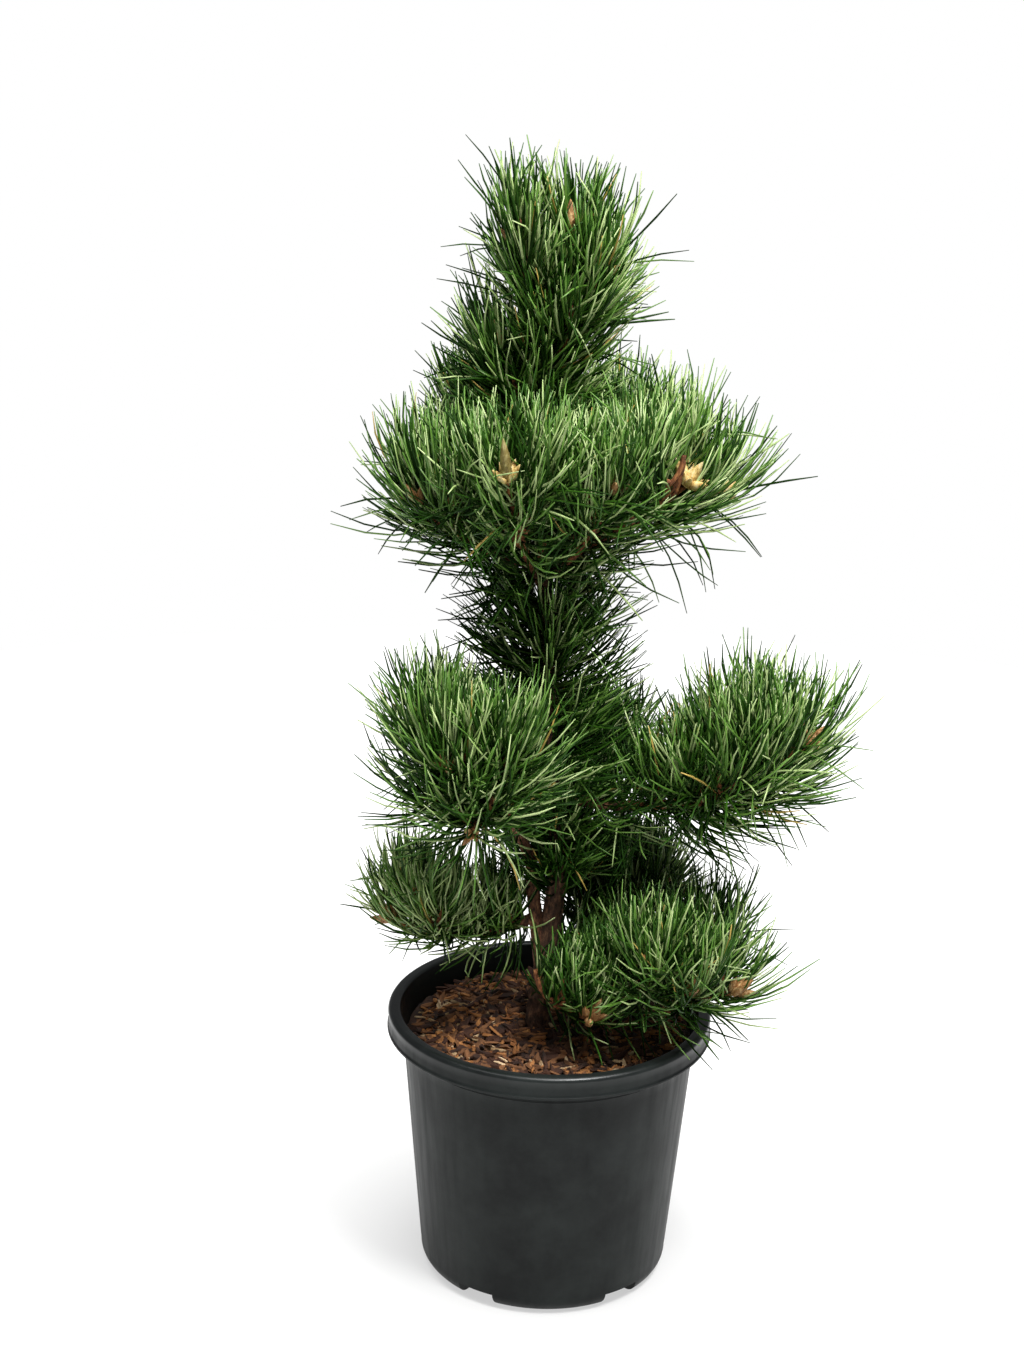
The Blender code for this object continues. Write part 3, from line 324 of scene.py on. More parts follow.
plastic, plastic_shader = new_material("moulded_black_polypropylene", "#101213", 0.42)
plastic_shader.inputs["IOR"].default_value = 1.49
plastic_shader.inputs["Specular IOR Level"].default_value = 0.16
plastic_place = add_node(plastic, "ShaderNodeTexCoord")
streak_place = add_node(plastic, "ShaderNodeMapping", {"Scale": (1.0, 1.0, 0.06)},
                        Vector=plastic_place.outputs["Object"])
streaks = add_node(plastic, "ShaderNodeTexNoise", {"Scale": 160.0, "Detail": 3.0, "Roughness": 0.6},
                   Vector=streak_place.outputs["Vector"])
scuffs = add_node(plastic, "ShaderNodeTexNoise", {"Scale": 26.0, "Detail": 5.0, "Roughness": 0.65},
                  Vector=plastic_place.outputs["Object"])
plastic_tint = add_node(plastic, "ShaderNodeValToRGB", None, Fac=scuffs.outputs["Fac"])
plastic_tint.color_ramp.elements[0].color = linear("#0f1212")
plastic_tint.color_ramp.elements[0].position = 0.36
plastic_tint.color_ramp.elements[1].color = linear("#202423")
plastic_tint.color_ramp.elements[1].position = 0.68
plastic.node_tree.links.new(plastic_tint.outputs["Color"], plastic_shader.inputs["Base Color"])
plastic_gloss = add_node(plastic, "ShaderNodeMapRange",
                         {"From Min": 0.3, "From Max": 0.7, "To Min": 0.38, "To Max": 0.54})
plastic.node_tree.links.new(streaks.outputs["Fac"], plastic_gloss.inputs["Value"])
plastic_axes = add_node(plastic, "ShaderNodeSeparateXYZ", Vector=plastic_place.outputs["Object"])
rim_polish = add_node(plastic, "ShaderNodeMapRange",
                      {"From Min": SKIRT_FOOT + 0.006, "From Max": RIM_TOP - 0.002, "To Min": 0.0, "To Max": 1.0},
                      Value=plastic_axes.outputs["Z"])
plastic_satin = add_node(plastic, "ShaderNodeMix", {"data_type": "FLOAT", "B": 0.30})
plastic.node_tree.links.new(rim_polish.outputs["Result"], plastic_satin.inputs["Factor"])
plastic.node_tree.links.new(plastic_gloss.outputs["Result"], plastic_satin.inputs["A"])
plastic.node_tree.links.new(plastic_satin.outputs["Result"], plastic_shader.inputs["Roughness"])
plastic_sheen = add_node(plastic, "ShaderNodeMapRange", {"To Min": 0.16, "To Max": 0.34},
                         Value=rim_polish.outputs["Result"])
plastic.node_tree.links.new(plastic_sheen.outputs["Result"], plastic_shader.inputs["Specular IOR Level"])
plastic_grain = add_node(plastic, "ShaderNodeTexNoise", {"Scale": 1400.0, "Detail": 2.0},
                         Vector=plastic_place.outputs["Object"])
plastic_bump = add_node(plastic, "ShaderNodeBump", {"Strength": 0.12, "Distance": 0.0002},
                        Height=plastic_grain.outputs["Fac"])
streak_bump = add_node(plastic, "ShaderNodeBump", {"Strength": 0.10, "Distance": 0.0004},
                       Height=streaks.outputs["Fac"], Normal=plastic_bump.outputs["Normal"])
plastic.node_tree.links.new(streak_bump.outputs["Normal"], plastic_shader.inputs["Normal"])

pot_piece = mesh_piece("nursery_pot", *turned_surface(pot_profile(), POT_STEPS), plastic)
cut_notches(pot_piece)
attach(pot_piece, "root")
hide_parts("pot")


# Root ball and mulch: damp compost fills the pot, and chipped bark lies on it, splinters and
# flakes 4 to 22 mm long. Wet chips are near black, dry faces orange-brown or tan.

SOIL_TOP = 0.1430
MULCH_EDGE_TOP = 0.1500
MULCH_CROWN = 0.0030
MULCH_HOLE = 0.0108
TRUNK_FOOT_X = -0.0070
CHIP_SEED = 5


def lattice_noise(points, seed):
    """Smooth value noise: random numbers at the corners of unit cells, blended by 3t^2 - 2t^3."""
    cell = np.floor(points).astype(np.int64)
    part = points - cell
    part = part * part * (3 - 2 * part)
    total = np.zeros(len(points))
    for corner in np.ndindex(2, 2, 2):
        place = cell + np.array(corner)
        mix = (place[:, 0] * 73856093) ^ (place[:, 1] * 19349663) ^ (place[:, 2] * 83492791) ^ (seed * 2654435)
        mix = (mix ^ (mix >> 13)) * 1274126177 & 0x7FFFFFFF
        value = (mix % 10007) / 10007.0
        weight = np.prod(np.where(np.array(corner) == 1, part, 1 - part), axis=1)
        total += weight * value
    return total


def joined(name, sheets, material, smooth=True):
    """One piece from many like shapes. sheets is (count, points, 3), with one face list for all."""
    points, faces = sheets
    count, size = points.shape[:2]
    offset = (np.arange(count) * size)[:, None, None]
    width = len(faces[0])
    all_faces = (np.array(faces)[None] + offset).reshape(-1, width)
    return mesh_piece(name, points.reshape(-1, 3).tolist(), all_faces.tolist(), material, smooth)


def mulch_height(radius):
    """Height of the mulch at a share of the pot's radius: edge height plus a low crown."""
    return MULCH_EDGE_TOP + MULCH_CROWN * np.sin(math.pi * np.minimum(1.0, radius + 0.25)) - 0.0012


def soil_surface(rings, sectors):
    """Crumbly disc: rings from the trunk to the wall, height from the crown plus two noises."""
    share = np.linspace(0.0, 1.0, rings)[:, None]
    angle = 2 * math.pi * np.arange(sectors)[None] / sectors
    wall = body_radius(MULCH_EDGE_TOP) - WALL - 0.0006
    radius = 0.004 * (1 - share) + wall * share
    x = TRUNK_FOOT_X * (1 - share) + radius * np.cos(angle)
    y = radius * np.sin(angle)
    flat = np.stack([x, y, np.zeros_like(x)], axis=-1).reshape(-1, 3)
    rough = 0.0030 * (lattice_noise(flat / 0.006, 3) - 0.5) + 0.0014 * (lattice_noise(flat / 0.0022, 4) - 0.5)
    flat[:, 2] = mulch_height(np.repeat(share, sectors, axis=1).reshape(-1)) - 0.0022 + rough
    return flat


def chip_frames(count, rng):
    """Places and turned axes for chips: even over the disc, lying nearly flat, headings random."""
    wall = body_radius(MULCH_EDGE_TOP) - WALL - 0.007
    radius = np.sqrt(rng.uniform(0.012 ** 2, wall ** 2, count))
    angle = rng.uniform(0, 2 * math.pi, count)
    share = radius / wall
    place = np.stack([TRUNK_FOOT_X * (1 - share) + radius * np.cos(angle), radius * np.sin(angle),
                      mulch_height(share) + rng.uniform(-0.0016, 0.0022, count)], axis=-1)
    heading = rng.uniform(0, 2 * math.pi, count)
    tilt = rng.normal(0.0, 0.22, count)
    roll = rng.normal(0.0, 0.45, count)
    along = np.stack([np.cos(heading) * np.cos(tilt), np.sin(heading) * np.cos(tilt), np.sin(tilt)], axis=-1)
    side = np.cross(np.array([0.0, 0.0, 1.0]), along)
    side /= np.linalg.norm(side, axis=1)[:, None]
    up = np.cross(along, side)
    across = side * np.cos(roll)[:, None] + up * np.sin(roll)[:, None]
    return place, along, across, np.cross(along, across)


def bark_chips(count, length_range, width_range, rng):
    """Splinters: a bent six-sided outline, narrower at its ends, on two faces a thickness apart."""
    place, along, across, normal = chip_frames(count, rng)
    outline = np.array([(-1.0, -0.35), (-0.55, -1.0), (0.5, -0.9), (1.0, -0.1), (0.6, 0.85), (-0.5, 1.0)])
    jitter = 1.0 + rng.uniform(-0.28, 0.28, (count, 6, 2))
    length = rng.uniform(*length_range, count)[:, None, None] / 2
    width = rng.uniform(*width_range, count)[:, None, None] / 2
    thick = rng.uniform(0.0006, 0.0016, count)[:, None, None] / 2
    flat = outline[None] * jitter
    x, y = flat[..., :1] * length, flat[..., 1:] * width
    bend = rng.normal(0.0, 0.10, count)[:, None, None] * length * flat[..., :1] ** 2
    layers = []
    for side in (-1, 1):
        shrink = 1.0 - 0.12 * (side + 1) / 2
        layers.append(place[:, None] + along[:, None] * x * shrink + across[:, None] * y * shrink
                      + normal[:, None] * (bend + side * thick))
    faces = [(0, 2, 1), (0, 3, 2), (0, 4, 3), (0, 5, 4), (6, 7, 8), (6, 8, 9), (6, 9, 10), (6, 10, 11)]
    for i in range(6):
        k = (i + 1) % 6
        faces += [(i, k, 6 + k), (i, 6 + k, 6 + i)]
    return np.concatenate(layers, axis=1), faces


def bark_chip_material(name, dark, light):
    """Chipped pine bark: fibres run along the chip, with paler torn faces between darker ones."""
    material, shader = new_material(name, light, 0.85)
    place = add_node(material, "ShaderNodeTexCoord")
    fibre = add_node(material, "ShaderNodeTexNoise", {"Scale": 420.0, "Detail": 4.0, "Roughness": 0.7},
                     Vector=place.outputs["Object"])
    patch = add_node(material, "ShaderNodeTexNoise", {"Scale": 90.0, "Detail": 2.0},
                     Vector=place.outputs["Object"])
    tint = add_node(material, "ShaderNodeValToRGB", None, Fac=patch.outputs["Fac"])
    tint.color_ramp.elements[0].color = linear(dark)
    tint.color_ramp.elements[0].position = 0.36
    tint.color_ramp.elements[1].color = linear(light)
    tint.color_ramp.elements[1].position = 0.66
    material.node_tree.links.new(tint.outputs["Color"], shader.inputs["Base Color"])
    bump = add_node(material, "ShaderNodeBump", {"Strength": 0.6, "Distance": 0.0005},
                    Height=fibre.outputs["Fac"])
    material.node_tree.links.new(bump.outputs["Normal"], shader.inputs["Normal"])
    return material


soil_material = bark_chip_material("damp_compost", "#1c110b", "#3d2415")
soil_piece = mesh_piece("compost_surface", soil_surface(40, 180).tolist(),
                        grid_faces(40, 180, True).tolist(), soil_material)
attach(soil_piece, "root")
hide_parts("bark_mulch")

chip_rng = np.random.default_rng(CHIP_SEED)
CHIP_KINDS = {
    "bark_chips_wet": ("#24150d", "#4a2a19", 900, (0.006, 0.020), (0.0018, 0.0050)),
    "bark_chips_brown": ("#55361e", "#875a36", 900, (0.005, 0.018), (0.0014, 0.0042)),
    "bark_chips_orange": ("#7f4d24", "#bd824a", 620, (0.004, 0.014), (0.0012, 0.0036)),
    "bark_chips_tan": ("#a08058", "#d0b48e", 220, (0.005, 0.013), (0.0012, 0.0028)),
}
for chip_name, (dark, light, count, lengths, widths) in CHIP_KINDS.items():
    chips = joined(chip_name, bark_chips(count, lengths, widths, chip_rng),
                   bark_chip_material(chip_name.replace("chips", "chip"), dark, light), False)
    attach(chips, "root")
    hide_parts("bark_mulch")


# Trunk, left stem and boughs: living pine wood. Old bark on the trunk is dark brown and
# breaks into small plates; younger limbs still show the spiral of scars where needle
# bundles stood, orange-brown between them.

TRUNK_SECTIONS = (
    (SOIL_TOP + 0.0003, -0.0070, 0.0084),
    (0.1620, -0.0065, 0.0066),
    (0.2050, -0.0020, 0.0060),
    (0.2550, 0.0030, 0.0054),
    (0.3000, -0.0030, 0.0044),
    (0.3500, -0.0050, 0.0034),
    (0.4000, -0.0080, 0.0031),
    (0.4400, -0.0120, 0.0029),
    (0.5350, -0.0130, 0.0024),
    (0.5950, 0.0010, 0.0018),
    (0.6100, 0.0000, 0.0015),
)
TRUNK_PIECES = 3
ROOT_LOBES = 3
ROOT_LOBE_DEPTH = 0.20
ROOT_FLARE_HEIGHT = 0.016
UP = np.array([0.0, 0.0, 1.0])
GAP = 0.0003
SHOOT_TIP_RADIUS = 0.0013
LINE_POINTS = 41

BOUGHS = {
    "low_front": dict(height=0.178, bud=(0.022, -0.052, 0.181), dip=0.004, bare=0.30,
                      radius=0.0022, sides=(0.024, 0.020), needle=0.036),
    "low_right": dict(height=0.192, bud=(0.103, -0.048, 0.197), dip=0.010, bare=0.24,
                      radius=0.0038, sides=(0.050, 0.046, 0.032), needle=0.050),
    "low_back": dict(height=0.203, bud=(0.058, 0.060, 0.210), dip=0.004, bare=0.30,
                     radius=0.0032, sides=(0.040, 0.034), needle=0.044),
    "low_left": dict(height=0.2200, bud=(-0.0925, -0.0125, 0.222), dip=0.010, bare=0.32,
                     radius=0.0032, sides=(0.038, 0.032), needle=0.038),
    "mid_left": dict(height=0.182, bud=(-0.0600, -0.0825, 0.3415), dip=0.000, bare=0.56,
                     radius=0.0046, sides=(0.044, 0.042, 0.036), needle=0.052,
                     tips=((-0.046, -0.090, 0.306),)),
    "mid_right": dict(height=0.297, bud=(0.142, 0.000, 0.328), dip=0.020, bare=0.26,
                      radius=0.0036, sides=(0.052, 0.052, 0.038), needle=0.056,
                      tips=((0.094, -0.012, 0.332),)),
    "mid_back": dict(height=0.290, bud=(0.014, 0.078, 0.294), dip=0.008, bare=0.30,
                     radius=0.0032, sides=(0.038, 0.034), needle=0.046),
    "top_left": dict(height=0.4310, bud=(-0.080, -0.028, 0.472), dip=0.006, bare=0.26,
                     radius=0.0028, sides=(0.042, 0.038), needle=0.054),
    "top_front": dict(height=0.4200, bud=(-0.0315, -0.066, 0.496), dip=0.010, bare=0.26,
                      radius=0.0028, sides=(0.042, 0.038), needle=0.052),
    "top_middle": dict(height=0.4265, bud=(0.026, -0.052, 0.488), dip=0.010, bare=0.26,
                       radius=0.0024, sides=(0.036, 0.032), needle=0.052),
    "top_right": dict(height=0.4330, bud=(0.066, -0.016, 0.484), dip=0.006, bare=0.26,
                      radius=0.0030, sides=(0.046, 0.042, 0.034), needle=0.056,
                      tips=((0.086, 0.008, 0.472),)),
    "top_back": dict(height=0.4390, bud=(0.022, 0.070, 0.488), dip=0.008, bare=0.28,
                     radius=0.0028, sides=(0.042, 0.038), needle=0.050),
    "top_rear_left": dict(height=0.4450, bud=(-0.046, 0.042, 0.502), dip=0.006, bare=0.28,
                          radius=0.0026, sides=(0.036, 0.030), needle=0.050),
}
FORKED = "mid_left"
FORK_LINE = ((-0.0115, -0.0010, 0.2350), (-0.0150, -0.0060, 0.2620), (-0.0330, -0.0400, 0.3060))
FORK_SHARE = 0.4125
ON_STEM = "low_left"


def smooth_line(rows, pieces):
    """Catmull-Rom line through rows of numbers, each span cut into the same number of pieces."""
    rows = np.array(rows, dtype=float)
    padded = np.vstack([2 * rows[0] - rows[1], rows, 2 * rows[-1] - rows[-2]])
    t = np.linspace(0.0, 1.0, pieces, endpoint=False)[:, None]
    spans = []
    for i in range(len(rows) - 1):
        a, b, c, d = padded[i:i + 4]
        spans.append(0.5 * (2 * b + (c - a) * t + (2 * a - 5 * b + 4 * c - d) * t ** 2
                            + (3 * b - a - 3 * c + d) * t ** 3))
    return np.vstack(spans + [rows[-1:]])


def bent_line(start, control, end, count):
    """Quadratic Bezier line from start to end, drawn towards its control point."""
    t = np.linspace(0.0, 1.0, count)[:, None]
    return (1 - t) ** 2 * start + 2 * t * (1 - t) * control + t ** 2 * end


def line_shares(line):
    """Share of the whole length reached at each point of a line."""
    run = np.concatenate([[0.0], np.cumsum(np.linalg.norm(np.diff(line, axis=0), axis=1))])
    return run / run[-1]


def points_at(line, shares):
    """Points of a line at shares of its length."""
    reached = line_shares(line)
    return np.stack([np.interp(shares, reached, line[:, k]) for k in range(line.shape[1])], axis=-1)


def direction_at(line, share):
    """Unit direction of a line at a share of its length, over 2% of it to each side."""
    ahead, behind = points_at(line, np.clip([share + 0.02, share - 0.02], 0.0, 1.0))
    return (ahead - behind) / np.linalg.norm(ahead - behind)


def line_length(line):
    """Length of a line."""
    return float(np.linalg.norm(np.diff(line, axis=0), axis=1).sum())


def trunk_rows():
    """Points and radii along the trunk's middle line."""
    rows = [(side, 0.0, height, radius) for height, side, radius in TRUNK_SECTIONS]
    return smooth_line(rows, TRUNK_PIECES)


def trunk_at(height):
    """Middle point and radius of the trunk at a height."""
    rows = trunk_rows()
    place = np.array([np.interp(height, rows[:, 2], rows[:, 0]), 0.0, height])
    return place, float(np.interp(height, rows[:, 2], rows[:, 3]))


def bough_line(name):
    """Middle line of a bough and its main shoot, from the middle of what bears it to the bud."""
    bough = BOUGHS[name]
    start = trunk_at(bough["height"])[0]
    bud = np.array(bough["bud"])
    if name == FORKED:
        line = smooth_line([start, *FORK_LINE, bud], 8)
    else:
        if name == ON_STEM:
            stem = bough_line(FORKED)
            start = np.array([np.interp(bough["height"], stem[:, 2], stem[:, k]) for k in range(3)])
        control = start + 0.55 * (bud - start) - np.array([0.0, 0.0, 2 * bough["dip"]])
        line = bent_line(start, control, bud, 24)
    return points_at(line, np.linspace(0.0, 1.0, LINE_POINTS))


def bough_radius(bough, share):
    """Radius of a bough or its main shoot at a share of its line: straight from root to tip."""
    return bough["radius"] * (1 - share) + SHOOT_TIP_RADIUS * share


def carried_frames(line):
    """Direction and two side axes at each point of a line, carried along it without twist."""
    along = np.gradient(line, axis=0)
    along = along / np.linalg.norm(along, axis=1)[:, None]
    side = UP if abs(along[0, 2]) < 0.9 else np.array([1.0, 0.0, 0.0])
    sides = []
    for direction in along:
        side = side - direction * float(side @ direction)
        side = side / np.linalg.norm(side)
        sides.append(side)
    sides = np.array(sides)
    return along, sides, np.cross(along, sides)


def limb_surface(line, radii, sides, relief):
    """Tube with a closed dome at each end: each ring lies square to the line, and relief swells it.

    relief takes the run along the limb, the angle round it and the radius, all in grids.
    """
    _, first, second = carried_frames(line)
    angle = 2 * math.pi * np.arange(sides)[None] / sides
    run = (line_shares(line) * line_length(line))[:, None]
    radius = np.asarray(radii)[:, None]
    radius = radius + relief(run + 0 * angle, angle + 0 * run, radius + 0 * angle)
    spread = np.cos(angle)[..., None] * first[:, None] + np.sin(angle)[..., None] * second[:, None]
    points = (line[:, None] + radius[..., None] * spread).reshape(-1, 3)
    faces = grid_faces(len(line), sides, True).tolist()
    ends = np.array([line[0], line[-1]])
    base = (len(line) - 1) * sides
    faces += [((i + 1) % sides, i, len(points)) for i in range(sides)]
    faces += [(base + i, base + (i + 1) % sides, len(points) + 1) for i in range(sides)]
    return np.vstack([points, ends]), faces


def scale_pattern(run, angle, radius, pitch, spirals):
    """Overlapping scales on a spiral lattice: a ramp up each scale, a step down to the next.

    The two lattice counts are the run over the pitch plus and minus the turns of the angle.
    """
    u = run / pitch + spirals * angle / (2 * math.pi)
    v = run / pitch - (spirals + 1) * angle / (2 * math.pi)
    ramp = 0.5 * ((u % 1.0) + (v % 1.0))
    edge = np.minimum(np.minimum(u % 1.0, 1 - u % 1.0), np.minimum(v % 1.0, 1 - v % 1.0))
    return ramp * np.clip(edge / 0.16, 0.0, 1.0)


def twig_relief(run, angle, radius):
    """Needle-scale scars: spiral scales 2.4 mm apart, 0.35 mm proud."""
    return 0.00042 * scale_pattern(run, angle, radius, 0.0046, 3) - 0.00008


def trunk_relief(run, angle, radius):
    """Old bark low down turns from scale scars into upright plates split by cracks."""
    flat = np.stack([np.cos(angle) * radius, np.sin(angle) * radius, run], axis=-1).reshape(-1, 3)
    plates = np.abs(lattice_noise(flat * (420.0, 420.0, 150.0), 21) - 0.5) * 2
    crumbs = lattice_noise(flat * (1300.0, 1300.0, 700.0), 22) - 0.5
    knots = lattice_noise(flat * (110.0, 110.0, 70.0), 23) - 0.5
    old = np.clip(1.15 - run / 0.16, 0.25, 1.0)
    bark = 0.0013 * np.clip(plates * 2.2, 0, 1).reshape(run.shape) + 0.0005 * crumbs.reshape(run.shape)
    bark = bark + 0.0012 * knots.reshape(run.shape) - 0.0008
    young = 0.00055 * scale_pattern(run, angle, radius, 0.0056, 4)
    return old * bark + (1 - old) * young


def limb_material(name, deep, face, flake, scale):
    """Pine bark: dark in its cracks, brown on its faces, with paler orange flakes."""
    material, shader = new_material(name, face, 0.88)
    place = add_node(material, "ShaderNodeTexCoord")
    stretch = add_node(material, "ShaderNodeMapping", {"Scale": (1.0, 1.0, 0.45)},
                       Vector=place.outputs["Object"])
    grain = add_node(material, "ShaderNodeTexNoise", {"Scale": scale, "Detail": 5.0, "Roughness": 0.68},
                     Vector=stretch.outputs["Vector"])
    tint = add_node(material, "ShaderNodeValToRGB", None, Fac=grain.outputs["Fac"])
    tint.color_ramp.elements[0].color = linear(deep)
    tint.color_ramp.elements[0].position = 0.36
    tint.color_ramp.elements[1].color = linear(flake)
    tint.color_ramp.elements[1].position = 0.72
    middle = tint.color_ramp.elements.new(0.52)
    middle.color = linear(face)
    material.node_tree.links.new(tint.outputs["Color"], shader.inputs["Base Color"])
    fine = add_node(material, "ShaderNodeTexNoise", {"Scale": scale * 4, "Detail": 3.0},
                    Vector=stretch.outputs["Vector"])
    bump = add_node(material, "ShaderNodeBump", {"Strength": 0.7, "Distance": 0.0005},
                    Height=fine.outputs["Fac"])
    material.node_tree.links.new(bump.outputs["Normal"], shader.inputs["Normal"])
    return material


old_bark = limb_material("weathered_pine_bark", "#1e130e", "#553a2a", "#a07757", 320.0)
young_bark = limb_material("scarred_young_bark", "#34201a", "#7c523b", "#b98561", 420.0)
twig_bark = limb_material("scaly_shoot_bark", "#3a2014", "#86502c", "#bf8450", 520.0)


def trunk_surface():
    """The trunk's tube with its bark relief and the root flare's three lobes at the foot."""
    rows = trunk_rows()
    shares = np.linspace(0.0, 1.0, 420)
    line = points_at(rows, shares)
    points, faces = limb_surface(line[:, :3], line[:, 3], 36, trunk_relief)
    foot_z = TRUNK_SECTIONS[0][0]
    low = np.clip(1.0 - (points[:, 2] - foot_z) / ROOT_FLARE_HEIGHT, 0.0, 1.0)
    angle = np.arctan2(points[:, 1], points[:, 0] - TRUNK_FOOT_X)
    swell = 1.0 + ROOT_LOBE_DEPTH * low ** 2 * np.cos(ROOT_LOBES * angle)
    points[:, 0] = TRUNK_FOOT_X + (points[:, 0] - TRUNK_FOOT_X) * swell
    points[:, 1] = points[:, 1] * swell
    return points, faces


trunk_points, trunk_faces = trunk_surface()
trunk_piece = mesh_piece("pine_trunk", trunk_points.tolist(), trunk_faces, old_bark)
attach(trunk_piece, "root")
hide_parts("trunk")

bough_lines = {name: bough_line(name) for name in BOUGHS}
for name, line in bough_lines.items():
    shares = np.linspace(0.0, BOUGHS[name]["bare"] + 0.02, 130)
    limb_points, limb_faces = limb_surface(points_at(line, shares), bough_radius(BOUGHS[name], shares),
                                           20, twig_relief)
    limb = mesh_piece("limb_" + name, limb_points.tolist(), limb_faces, young_bark)
    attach(limb, "root")
    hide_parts("bough_" + name, *(("stem_left",) if name == FORKED else ()))


# Shoots: each bough goes on as a main shoot with side shoots, and each of those bears short
# twigs of its own. Two stretches of the trunk carry needles and spurs directly. Scaly,
# orange-brown, 2.5 to 5 mm thick.

SLEEVES = {
    "column": dict(foot=0.308, top=0.412, needle=0.059, spurs=()),
    "leader": dict(foot=0.470, top=0.6150, needle=0.054,
                   spurs=((-0.030, -0.006, 0.611), (-0.038, 0.004, 0.552), (0.016, -0.004, 0.594))),
}
SPUR_RISE = 0.044
SPUR_FOOT = 0.0018
SHOOT_POINTS = 7
SIDE_SHOOT_RADIUS = 0.0017
SIDE_ANGLE_DEG = 52.0
SIDE_LIFT = 0.45
SIDE_FIRST = 0.30
SIDE_STEP = 0.17
TIP_FORK = 0.18
SHOOT_CLEAR = 0.010
SHOOT_SEED = 40
TWIG_SEED = 91
TWIG_SHARES = (0.08, 0.24, 0.40, 0.56, 0.72, 0.86)
TWIG_LENGTH = (0.016, 0.030)
TWIG_RADIUS = 0.0012
TWIG_LIFT = 1.0
LOW_SHOOTS = {"mid_left": (0.45, (-0.074, -0.080, 0.323)), "mid_right": (0.40, (0.124, -0.018, 0.314))}
FULL_TO_STEM = "low_left"
LOW_NEEDLES = (0.236, 0.300)


def side_shoot(main, share, length, side, rng, lift=SIDE_LIFT):
    """Line of a side shoot: out from the main shoot to one side, then turning up."""
    start = points_at(main, share)
    along = direction_at(main, share)
    across = np.cross(along, UP)
    if np.linalg.norm(across) < 0.2:
        across = np.array([1.0, 0.0, 0.0])
    across = across / np.linalg.norm(across) * side
    angle = math.radians(SIDE_ANGLE_DEG + rng.uniform(-8.0, 8.0))
    outward = across + rng.uniform(-0.1, 0.5) * UP
    outward = outward / np.linalg.norm(outward)
    heading = math.cos(angle) * along + math.sin(angle) * outward
    turned_up = heading + lift * UP
    end = start + length * turned_up / np.linalg.norm(turned_up)
    return bent_line(start, start + 0.5 * length * heading, end, SHOOT_POINTS)


def upright_shoot(foot, tip):
    """Line of a spur on the trunk that leaves it sideways and turns up to its tip."""
    control = foot + 0.45 * (tip - foot) + 0.25 * np.array([tip[0] - foot[0], tip[1] - foot[1], 0.0])
    return bent_line(foot, control, tip, SHOOT_POINTS)


def distances(points, line):
    """Distance of each point to the nearest place on a line."""
    a = line[:-1]
    ab = line[1:] - a
    ap = points[:, None, :] - a[None]
    t = np.clip((ap * ab).sum(2) / (ab ** 2).sum(1), 0.0, 1.0)
    return np.linalg.norm(ap - t[..., None] * ab, axis=2).min(1)


def plan_shoots(lines):
    """Shoots of each mass: its main shoot and the side shoots that stay clear of other limbs."""
    plan = {}
    for number, (name, line) in enumerate(lines.items()):
        bough = BOUGHS[name]
        rng = random.Random(SHOOT_SEED + number)
        bare = bough["bare"] + GAP / line_length(line)
        main = points_at(line, np.linspace(bare, 1.0, SHOOT_POINTS))
        shoots = [main]
        side = rng.choice((-1, 1))
        others = [other for key, other in lines.items() if key != name]
        for i, length in enumerate(bough["sides"]):
            shoot = side_shoot(main, SIDE_FIRST + SIDE_STEP * i, length, side, rng)
            side = -side
            if all(distances(shoot, other).min() > SHOOT_CLEAR for other in others):
                shoots.append(shoot)
        for tip in bough.get("tips", ()):
            fork = points_at(main, TIP_FORK)
            control = fork + 0.5 * line_length(main) * (1 - TIP_FORK) * direction_at(main, TIP_FORK)
            shoots.append(bent_line(fork, control, np.array(tip), SHOOT_POINTS))
        plan[name] = shoots
    for name, sleeve in SLEEVES.items():
        heights = np.linspace(sleeve["foot"], sleeve["top"], 15)
        shoots = [np.array([trunk_at(height)[0] for height in heights])]
        for tip in sleeve["spurs"]:
            tip = np.array(tip)
            foot, radius = trunk_at(tip[2] - SPUR_RISE)
            out = np.array([tip[0] - foot[0], tip[1] - foot[1], 0.0])
            out = out / np.linalg.norm(out)
            shoots.append(upright_shoot(foot + out * (radius + SPUR_FOOT), tip))
        plan[name] = shoots
    return plan


def short_twigs(shoots, rng):
    """Short twigs off the shoots of a mass, by the side shoots' rule at a smaller size."""
    twigs = []
    for shoot in shoots:
        side = rng.choice((-1, 1))
        for share in TWIG_SHARES:
            length = rng.uniform(*TWIG_LENGTH) * (1.15 - 0.5 * share)
            twigs.append(side_shoot(shoot, share, length, side, rng, TWIG_LIFT))
            side = -side
    return twigs


